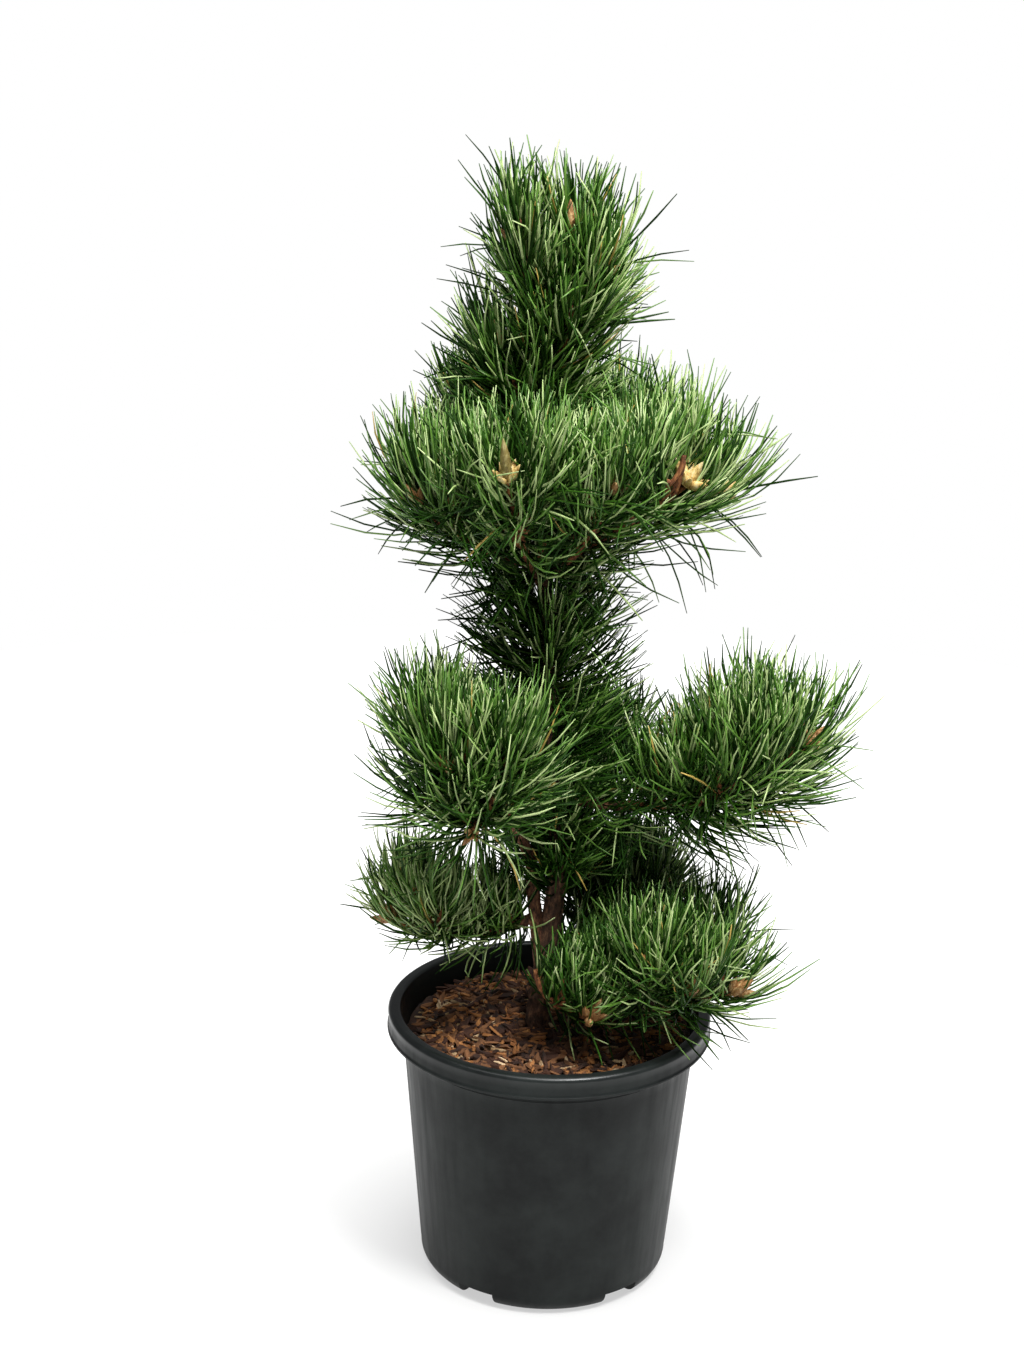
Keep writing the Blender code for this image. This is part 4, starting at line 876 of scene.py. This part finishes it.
plan = plan_shoots(bough_lines)
twig_rng = random.Random(TWIG_SEED)
stems = []
for name, shoots in plan.items():
    spec = SLEEVES.get(name) or BOUGHS[name]
    for index, line in enumerate(shoots):
        if name in SLEEVES and index == 0:
            radius, kind = trunk_at(spec["foot"])[1], "top" if spec["spurs"] else "trunk"
        elif index == 0:
            radius, kind = bough_radius(spec, spec["bare"]), "main"
        elif name in SLEEVES:
            radius, kind = SIDE_SHOOT_RADIUS, "spur"
        else:
            radius, kind = SIDE_SHOOT_RADIUS, "side"
        stems.append(dict(mass=name, line=line, radius=radius, needle=spec["needle"], kind=kind))
    if name in BOUGHS:
        inner = points_at(bough_lines[name], np.linspace(0.5 if name == FORKED else 0.06, spec["bare"], 12))
        stems.append(dict(mass=name, line=inner, radius=bough_radius(spec, spec["bare"] / 2),
                          needle=spec["needle"], kind="inner"))
    bearers = [s for s in shoots if name not in SLEEVES or s is not shoots[0]]
    if name in LOW_SHOOTS:
        foot = points_at(shoots[0], LOW_SHOOTS[name][0])
        tip = np.array(LOW_SHOOTS[name][1])
        low_line = bent_line(foot, 0.5 * (foot + tip) - 0.004 * UP, tip, SHOOT_POINTS)
        stems.append(dict(mass=name, line=low_line, radius=SIDE_SHOOT_RADIUS, needle=spec["needle"], kind="side"))
    if name == FULL_TO_STEM:
        bearers.append(inner)
    for line in short_twigs(bearers, twig_rng):
        stems.append(dict(mass=name, line=line, radius=TWIG_RADIUS, needle=0.92 * spec["needle"],
                          kind="twig"))

low_heights = np.linspace(*LOW_NEEDLES, 9)
stems.append(dict(mass="column", line=np.array([trunk_at(height)[0] for height in low_heights]),
                  radius=trunk_at(LOW_NEEDLES[0])[1], needle=0.040, kind="trunk"))

for name in plan:
    points, faces = [], []
    for stem in (s for s in stems if s["mass"] == name and s["kind"] not in ("trunk", "top", "inner")):
        rings = 12 if stem["kind"] == "twig" else 60
        shares = np.linspace(0.0, 1.0, rings)
        radii = stem["radius"] * (1 - shares) + SHOOT_TIP_RADIUS * shares
        stem_points, stem_faces = limb_surface(points_at(stem["line"], shares), radii, 12, twig_relief)
        faces += [tuple(k + len(points) for k in face) for face in stem_faces]
        points += stem_points.tolist()
    if points:
        twigs = mesh_piece("shoots_" + name, points, faces, twig_bark)
        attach(twigs, "root")
        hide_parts("needles_" + name)


# Needles: evergreen, stiff, in bundles of two, 4 to 6 cm long and 1.4 mm wide, flat inside
# and domed outside. Each stands out from its shoot, leans towards the tip and curves up.
# Each needle's kind, bright green to near black, comes from a random tone that is a little fresher towards the
# shoot tips, plus painted light: brighter when the needle reaches towards the light side or stands higher, and
# darker on inner stems, on the trunk and in the shaded masses as painted shade. A few are yellowing.

GOLDEN_ANGLE = math.radians(137.508)
NEEDLE_RULES = {
    "trunk": dict(pitch=0.00019, leans=(90.0, 80.0, 1.0), first=0.0, growth=(1.0, 0.95), stray=0.55),
    "top": dict(pitch=0.00025, leans=(64.0, 44.0, 1.5), first=0.0, growth=(1.0, 0.84), stray=0.5),
    "spur": dict(pitch=0.00070, leans=(62.0, 36.0, 1.6), first=0.05, growth=(1.0, 0.70), stray=0.6),
    "main": dict(pitch=0.00076, leans=(92.0, 32.0, 2.4), first=0.0, growth=(0.9, 1.0), stray=1.0),
    "side": dict(pitch=0.00084, leans=(86.0, 34.0, 2.2), first=0.10, growth=(0.9, 1.0), stray=1.0),
    "twig": dict(pitch=0.00100, leans=(72.0, 34.0, 1.6), first=0.12, growth=(0.9, 1.0), stray=1.0),
    "inner": dict(pitch=0.00062, leans=(72.0, 64.0, 1.0), first=0.0, growth=(0.9, 0.9), stray=0.8),
}
LEADER_HEIGHTS = (0.530, 0.572, 0.604)
LEADER_LEANS = (1.22, 0.96, 0.50)
NEEDLE_LIFT = 0.04
NEEDLE_STRAY = 0.095
NEEDLE_CURL = 0.52
UNDER_CURL = 1.1
FORWARD_CURL = 0.50
NEEDLE_BEND = 0.17
SWAY = 0.15
SWAY_WAVES = 5
SWAY_LENGTHS = (0.018, 0.050)
ARCHED_SHARE = 0.05
ARCHED_CURL = -0.60
HANGING = ("mid_left", "mid_right", "low_right")
UNDER_LEAN = 0.16
UNDER_LIFT = 0.24
PAIR_SPREAD = 0.085
NEEDLE_HALF_WIDTH = 0.00064
NEEDLE_RINGS = 5
NEEDLE_SEED = 17
PLANT_TOP = 0.669
SHADED = ("low_front", "low_back", "mid_back")
OPENINGS = (((0.066, -0.016, 0.492), 0.012), ((-0.031, -0.066, 0.508), 0.009),
            ((-0.080, -0.028, 0.478), 0.005), ((0.000, 0.000, 0.625), 0.006),
            ((0.142, 0.000, 0.334), 0.006), ((-0.060, -0.0825, 0.348), 0.003),
            ((0.103, -0.048, 0.204), 0.005), ((-0.020, -0.024, 0.163), 0.025),
            ((-0.022, -0.026, 0.190), 0.019))
OPEN_TOWARDS = (0.0, -0.96, 0.28)
OPEN_SLOPE = 0.29
OPEN_LIMBS = (("trunk", 0.375, 0.50, 0.62), ("trunk", 0.10, 0.22, 0.80), ("top_right", 0.15, 0.66, 0.70),
              ("top_front", 0.20, 0.50, 0.70), ("mid_left", 0.10, 0.26, 0.80))
OPEN_LIMB_WIDTH = 0.0032
OPEN_SHARE = 0.74
# Side of the painted light: needles reaching this way are dealt brighter kinds.
LIGHT_SIDE = np.array([0.60, -0.20, 0.77])


def sway_field(seed):
    """Slow drift of direction from place to place: a sum of sine waves of differing lengths."""
    rng = np.random.default_rng(seed)
    waves = rng.normal(size=(SWAY_WAVES, 3))
    waves /= np.linalg.norm(waves, axis=1)[:, None]
    waves *= 2 * math.pi / rng.uniform(*SWAY_LENGTHS, (SWAY_WAVES, 1))
    phases = rng.uniform(0, 2 * math.pi, SWAY_WAVES)
    pulls = rng.normal(size=(SWAY_WAVES, 3))

    def drift(places):
        return np.sin(places @ waves.T + phases) @ pulls * SWAY

    return drift


def fascicle_roots(stem, rng):
    """Shares and angles of the bundles round a stem: one each pitch, each a golden angle on."""
    rule = NEEDLE_RULES[stem["kind"]]
    count = max(6, int(line_length(stem["line"]) / rule["pitch"]))
    share = rule["first"] + (1 - rule["first"]) * (np.arange(count) + 0.5) / count
    angle = np.arange(count) * GOLDEN_ANGLE + rng.uniform(0, 2 * math.pi)
    return share, angle + rng.normal(0.0, 0.12, count)


def needle_paths(stem, rng):
    """Middle lines of a stem's needles, (count, rings, 3), with their width direction.

    A needle starts on the stem, heads off by the lean at its share, and bends up with the
    square of its run: p = root + length * (t * heading + curl * t^2 * up across heading).
    """
    share, angle = fascicle_roots(stem, rng)
    line = stem["line"]
    fine = points_at(line, np.linspace(0.0, 1.0, 60))
    along, first, second = carried_frames(fine)
    place = share * 59
    low = np.clip(place.astype(int), 0, 58)
    part = (place - low)[:, None]
    blend = lambda rows: rows[low] * (1 - part) + rows[low + 1] * part
    heading_line, side_a, side_b = blend(along), blend(first), blend(second)
    out = np.cos(angle)[:, None] * side_a + np.sin(angle)[:, None] * side_b
    radius = (stem["radius"] * (1 - share) + SHOOT_TIP_RADIUS * share)[:, None]
    root = blend(fine) + out * radius * 0.7
    lean_foot, lean_tip, power = NEEDLE_RULES[stem["kind"]]["leans"]
    below = np.maximum(0.0, -out[:, 2]) * (0.25 if stem["mass"] in HANGING or stem["kind"] == "inner" else 1.0)
    hangs = np.maximum(0.0, -out[:, 2])[:, None, None]
    lean = np.radians(lean_foot + (lean_tip - lean_foot) * share ** power) * (1 - UNDER_LEAN * below ** 2)
    stray = NEEDLE_STRAY * NEEDLE_RULES[stem["kind"]]["stray"]
    if stem["mass"] == "leader":
        lean = lean * np.interp(root[:, 2], LEADER_HEIGHTS, LEADER_LEANS)
    lean = lean + rng.normal(0.0, stray, len(share))
    out = out + UNDER_LIFT * below[:, None] * UP
    heading = np.cos(lean)[:, None] * heading_line + np.sin(lean)[:, None] * out + NEEDLE_LIFT * UP
    heading = heading + rng.normal(0.0, stray, heading.shape) + sway(root + 0.02 * out)
    heading /= np.linalg.norm(heading, axis=1)[:, None]
    length = stem["needle"] * rng.uniform(0.86, 1.15, len(share))
    arched = (rng.uniform(size=len(share)) < ARCHED_SHARE)[:, None, None]
    length = length * np.interp(share, (0.0, 1.0), NEEDLE_RULES[stem["kind"]]["growth"])
    paths, wides = [], []
    twist = rng.uniform(0, math.pi, len(share))
    sideways = np.cross(heading, UP + 1e-4)
    sideways /= np.linalg.norm(sideways, axis=1)[:, None]
    lifted = np.cross(sideways, heading)
    wide = np.cos(twist)[:, None] * sideways + np.sin(twist)[:, None] * lifted
    t = np.linspace(0.0, 1.0, NEEDLE_RINGS)[None, :, None]
    for side in (-1, 1):
        apart = np.cross(heading, wide)
        aim = heading + side * (PAIR_SPREAD + rng.normal(0.0, 0.03, (len(share), 1))) * apart
        aim /= np.linalg.norm(aim, axis=1)[:, None]
        bend = UP - aim * aim[:, 2:]
        curl = np.where(arched, ARCHED_CURL, NEEDLE_CURL * (1 + UNDER_CURL * hangs))
        curl = curl * (0.55 if stem["kind"] in ("top", "spur") else 1.0)
        curl = curl * (1 + rng.uniform(-0.6, 0.5, (len(share), 1, 1)) * (1 - 0.7 * hangs))
        drift = rng.normal(0.0, NEEDLE_BEND * NEEDLE_RULES[stem["kind"]]["stray"], (len(share), 1, 3))
        forward = heading_line - aim * (aim * heading_line).sum(1)[:, None]
        forward = FORWARD_CURL * hangs * forward[:, None]
        path = t * aim[:, None] + t ** 2 * (curl * bend[:, None] + forward + drift)
        run = np.linalg.norm(np.diff(path, axis=1), axis=2).sum(1)
        scale = length * rng.uniform(0.94, 1.03, len(share)) / run
        paths.append(root[:, None] + scale[:, None, None] * path)
        wides.append(np.repeat(wide[:, None], NEEDLE_RINGS, axis=1))
    height = np.concatenate([share, share])
    return np.concatenate(paths), np.concatenate(wides), height


def needle_sheets(paths, wides):
    """Needle bodies: a three-sided section, flat inside and ridged outside, closed to a point."""
    along = np.gradient(paths, axis=1)
    along /= np.linalg.norm(along, axis=2)[..., None]
    wides = wides - along * (wides * along).sum(2)[..., None]
    wides /= np.linalg.norm(wides, axis=2)[..., None]
    ridge = np.cross(along, wides)
    t = np.linspace(0.0, 1.0, NEEDLE_RINGS)
    half = NEEDLE_HALF_WIDTH * np.interp(t, (0.0, 0.1, 0.85, 1.0), (0.75, 1.0, 0.95, 0.40))
    half = half[None, :, None]
    rings = np.stack([paths - wides * half - ridge * half * 0.35, paths + wides * half - ridge * half * 0.35,
                      paths + ridge * half * 0.90], axis=2)
    count = len(paths)
    points = rings.reshape(count, NEEDLE_RINGS * 3, 3)
    faces = []
    for ring in range(NEEDLE_RINGS - 1):
        for j in range(3):
            k = (j + 1) % 3
            a, b, c, d = ring * 3 + j, ring * 3 + k, ring * 3 + 3 + k, ring * 3 + 3 + j
            faces += [(a, b, c), (a, c, d)]
    faces.append((2, 1, 0))
    last = (NEEDLE_RINGS - 1) * 3
    faces.append((last, last + 1, last + 2))
    return points, faces


def needle_material(name, base, edge, gloss, shine):
    """Waxy needle: fine pale rows of pores run along it and the wax gives a soft highlight."""
    material, shader = new_material(name, base, gloss)
    place = add_node(material, "ShaderNodeTexCoord")
    patch = add_node(material, "ShaderNodeTexNoise", {"Scale": 55.0, "Detail": 2.0},
                     Vector=place.outputs["Object"])
    tint = add_node(material, "ShaderNodeValToRGB", None, Fac=patch.outputs["Fac"])
    tint.color_ramp.elements[0].color = linear(base)
    tint.color_ramp.elements[0].position = 0.34
    tint.color_ramp.elements[1].color = linear(edge)
    tint.color_ramp.elements[1].position = 0.68
    material.node_tree.links.new(tint.outputs["Color"], shader.inputs["Base Color"])
    pores = add_node(material, "ShaderNodeTexNoise", {"Scale": 1500.0, "Detail": 1.0},
                     Vector=place.outputs["Object"])
    bump = add_node(material, "ShaderNodeBump", {"Strength": 0.15, "Distance": 0.0001},
                    Height=pores.outputs["Fac"])
    material.node_tree.links.new(bump.outputs["Normal"], shader.inputs["Normal"])
    shader.inputs["IOR"].default_value = 1.45
    shader.inputs["Specular IOR Level"].default_value = shine
    return material


NEEDLE_KINDS = {
    "needles_fresh": ("#86a058", "#b7c88c", 0.36, 0.60),
    "needles_green": ("#4a7224", "#688e3c", 0.40, 0.50),
    "needles_dark": ("#1e3f08", "#2f5511", 0.48, 0.22),
    "needles_deep": ("#0e2502", "#1a3907", 0.54, 0.10),
    "needles_yellowing": ("#a08a3e", "#b79b52", 0.55, 0.40),
}
needle_rng = np.random.default_rng(NEEDLE_SEED)
sway = sway_field(NEEDLE_SEED + 1)
all_paths, all_wides, all_kinds, all_masses = [], [], [], []
mass_names = list(plan)
for stem in stems:
    paths, wides, share = needle_paths(stem, needle_rng)
    # Painted light and shade in the needles' kinds: reach towards LIGHT_SIDE and height raise the score, while
    # inner stems, the trunk and the SHADED masses lower it.
    reach = paths[:, -1] - stem["line"].mean(0)
    lit = reach @ LIGHT_SIDE / np.linalg.norm(reach, axis=1)
    high = np.clip((paths[:, -1, 2] - 0.16) / 0.40, 0.0, 1.0)
    freshness_and_light = 0.295 + 0.12 * lit + 0.08 * share + 0.08 * high + needle_rng.normal(0.0, 0.31, len(share))
    freshness_and_light = freshness_and_light - 0.10 * (stem["kind"] in ("inner", "trunk")) - 0.06 * (stem["mass"] in SHADED)
    if stem["mass"] == "low_left":
        freshness_and_light = freshness_and_light + 0.24
    # The column is dealt darker kinds overall, and brighter ones on its lit side as painted light.
    if stem["mass"] == "column":
        freshness_and_light = freshness_and_light - 0.07 + 0.14 * lit
    # The leader is dealt darker kinds overall and brighter ones towards its foot. It is also brighter on its lit
    # side as painted light.
    if stem["mass"] == "leader":
        freshness_and_light = freshness_and_light - 0.22 + 0.42 * np.clip(1 - 1.7 * share, 0.0, 1.0) + 0.16 * lit
    kind = np.select([freshness_and_light > 0.72, freshness_and_light > 0.48, freshness_and_light > 0.25], [0, 1, 2], 3)
    kind = np.where(needle_rng.uniform(size=len(share)) < 0.008, 4, kind)
    all_paths.append(paths)
    all_wides.append(wides)
    all_kinds.append(kind)
    all_masses.append(np.full(len(share), mass_names.index(stem["mass"])))
all_paths, all_wides = np.concatenate(all_paths), np.concatenate(all_wides)
all_kinds, all_masses = np.concatenate(all_kinds), np.concatenate(all_masses)


def keeps_clear(paths):
    """Needles that stay out of the mulch, the pot's wall and its rim, and below the plant's top."""
    radius = np.hypot(paths[..., 0], paths[..., 1])
    height = paths[..., 2]
    over_rim = (radius < RIM_RADIUS + 0.001) & (height < RIM_TOP + 0.001)
    inside = (radius < RIM_RADIUS - 0.010) & (height > MULCH_EDGE_TOP + 0.003)
    return ~np.any(over_rim & ~inside, axis=1) & (paths[:, -1, 2] < PLANT_TOP)


def crossing(paths, place, heading, near, far):
    """Needles that cross a cone which opens from a place: near and far are its radii over 60 mm."""
    offset = paths - np.array(place)
    run = offset @ np.array(heading)
    off_axis = np.linalg.norm(offset - run[..., None] * np.array(heading), axis=2)
    wide = near + (far - near) * np.clip(run / 0.06, 0.0, 1.0)
    return np.any((run > -0.002) & (off_axis < wide), axis=1)


def open_places(paths, rng):
    """Needles dropped where the crown stands open: before some buds and along some limbs."""
    before_bud = np.zeros(len(paths), dtype=bool)
    chance = np.zeros(len(paths))
    for place, width in OPENINGS:
        before_bud |= crossing(paths, place, OPEN_TOWARDS, 0.7 * width, 0.9 * width)
        chance[crossing(paths, place, OPEN_TOWARDS, width, 1.6 * width)] = OPEN_SHARE
    trunk_line = trunk_rows()[:, :3]
    for name, first, last, share in OPEN_LIMBS:
        line = bough_lines[name] if name in bough_lines else trunk_line
        along = line_shares(line)
        line = line[(along >= first) & (along <= last)]
        before = line[:, 1].mean() - paths[..., 1]
        seen = np.stack([paths[..., 0], 0 * before, paths[..., 2] - OPEN_SLOPE * before], axis=-1)
        flat = seen.reshape(-1, 3)
        level = line * (1.0, 0.0, 1.0)
        near = (distances(flat, level) < OPEN_LIMB_WIDTH).reshape(before.shape) & (before > 0.0)
        chance = np.where(np.any(near, axis=1), np.maximum(chance, share), chance)
    return (rng.uniform(size=len(paths)) < chance) | before_bud


clear = keeps_clear(all_paths) & ~open_places(all_paths, needle_rng)
all_paths, all_wides = all_paths[clear], all_wides[clear]
all_kinds, all_masses = all_kinds[clear], all_masses[clear]
print("needles", len(all_paths), file=sys.stderr)
for number, (kind_name, look) in enumerate(NEEDLE_KINDS.items()):
    material = needle_material(kind_name.replace("needles", "waxy_needle"), *look)
    chosen = np.flatnonzero(all_kinds == number)
    for part, rows in enumerate(np.array_split(chosen, max(1, math.ceil(len(chosen) / 4500)))):
        needles = joined(kind_name + "_" + str(part), needle_sheets(all_paths[rows], all_wides[rows]),
                         material)
        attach(needles, "root")
        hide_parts(*["needles_" + mass_names[k] for k in np.unique(all_masses[rows])])


# Winter buds: spindles of overlapping papery scales, orange-brown to cream with dried resin,
# one large one at each main tip with smaller ones round it.

BUD_RADIUS = 0.0030
BUD_LENGTH = 0.0170
BUD_SEED = 33
BUD_SCALES = {"leader": 1.2, "top_front": 1.6, "top_right": 1.00, "mid_right": 1.10, "mid_left": 0.80}
BUD_COUNTS = {"top_right": 9, "top_front": 6}
BUD_SPREADS = {"top_right": (0.55, 1.35), "top_front": (0.5, 1.0)}
BUD_SIDE_SIZES = {"top_right": (0.62, 0.92), "top_front": (0.28, 0.44)}
PALE_BUDS = ("top_right", "top_front")
CANDLE = "top_front"
CANDLE_SLIM = 0.60


def bud_surface(place, heading, radius, length):
    """Spindle with a pointed tip: radius times sin of a stretched run, swelled by spiral scales."""
    rows, sides = 26, 20
    run = np.linspace(0.0, 1.0, rows)[:, None]
    angle = 2 * math.pi * np.arange(sides)[None] / sides
    swell = np.sin(math.pi * np.clip(run, 0.0, 1.0) ** 0.72) ** 0.8
    scales = scale_pattern(run + 0 * angle, angle + 0 * run, None, 0.17, 3)
    width = radius * (0.10 + 0.90 * swell) * (1.0 + 0.22 * (scales - 0.3) * (swell > 0.05))
    turn = look_frame(heading)
    flat = np.stack([width * np.cos(angle), width * np.sin(angle), length * run + 0 * angle], axis=-1)
    points = flat.reshape(-1, 3) @ turn.T + place
    faces = grid_faces(rows, sides, True).tolist()
    ends = np.array([place, place + turn[:, 2] * length * 1.03])
    base = (rows - 1) * sides
    faces += [((i + 1) % sides, i, len(points)) for i in range(sides)]
    faces += [(base + i, base + (i + 1) % sides, len(points) + 1) for i in range(sides)]
    return np.vstack([points, ends]), faces


def look_frame(heading):
    """Rotation whose third column is the heading."""
    third = np.array(heading) / np.linalg.norm(heading)
    first = np.cross(third, np.array([0.0, 1.0, 0.0]))
    first = first / np.linalg.norm(first)
    return np.stack([first, np.cross(third, first), third], axis=1)


def bud_cluster(line, scale, slim, count, spread, sizes, rng):
    """One end bud and a ring of smaller ones that spread from it."""
    tip, along = line[-1], direction_at(line, 1.0)
    along = along + 0.5 * UP
    along /= np.linalg.norm(along)
    frame_of_tip = look_frame(along)
    buds = [bud_surface(tip - along * 0.002, along, BUD_RADIUS * scale * slim, BUD_LENGTH * scale)]
    for i in range(count):
        angle = 2 * math.pi * (i + rng.uniform(-0.2, 0.2)) / count
        out = frame_of_tip[:, 0] * math.cos(angle) + frame_of_tip[:, 1] * math.sin(angle)
        heading = along + rng.uniform(*spread) * out
        size = scale * rng.uniform(*sizes)
        buds.append(bud_surface(tip + out * 0.0012 - along * 0.001, heading, BUD_RADIUS * size,
                                BUD_LENGTH * size))
    return buds


BUD_LOOKS = {
    "winter_buds_brown": ("resinous_bud_scales", "#5e391c", "#a47644", "#e0c592"),
    "winter_buds_pale": ("papery_bud_scales", "#8c6428", "#dcc078", "#faf2d4"),
    "growing_candle": ("growing_candle_scales", "#64502a", "#96854a", "#cbbd88"),
}
bud_rng = random.Random(BUD_SEED)
bud_sets = {look: ([], [], []) for look in BUD_LOOKS}
for name, shoots in plan.items():
    if name == "column":
        continue
    lines = [shoots[0], *shoots[-1:]] if name not in SLEEVES else shoots
    for line in lines:
        scale = BUD_SCALES.get(name, 1.0) * (1.0 if line is shoots[0] else 0.85)
        count, spread = BUD_COUNTS.get(name, 4), BUD_SPREADS.get(name, (0.35, 0.85))
        sizes = BUD_SIDE_SIZES.get(name, (0.55, 0.85))
        slim = CANDLE_SLIM if name == CANDLE else 1.0
        for index, (points, faces) in enumerate(bud_cluster(line, scale, slim, count, spread, sizes, bud_rng)):
            look = "winter_buds_pale" if name in PALE_BUDS else "winter_buds_brown"
            if name == CANDLE and line is shoots[0] and index == 0:
                look = "growing_candle"
            bud_points, bud_faces, owners = bud_sets[look]
            bud_faces += [tuple(k + len(bud_points) for k in face) for face in faces]
            bud_points += points.tolist()
            owners.append("needles_" + name)
for look, (bud_points, bud_faces, owners) in bud_sets.items():
    bud_look = limb_material(*BUD_LOOKS[look], 300.0)
    bud_look.node_tree.nodes["Principled BSDF"].inputs["Roughness"].default_value = 0.6
    buds = mesh_piece(look, bud_points, bud_faces, bud_look)
    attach(buds, "root")
    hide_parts(*sorted(set(owners)))


# The compost below the mulch stays as the CAD's solid, hidden by what lies on it.

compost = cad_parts["root_ball"]
for index in range(max(1, len(compost.material_slots))):
    if compost.material_slots:
        compost.material_slots[index].material = soil_material
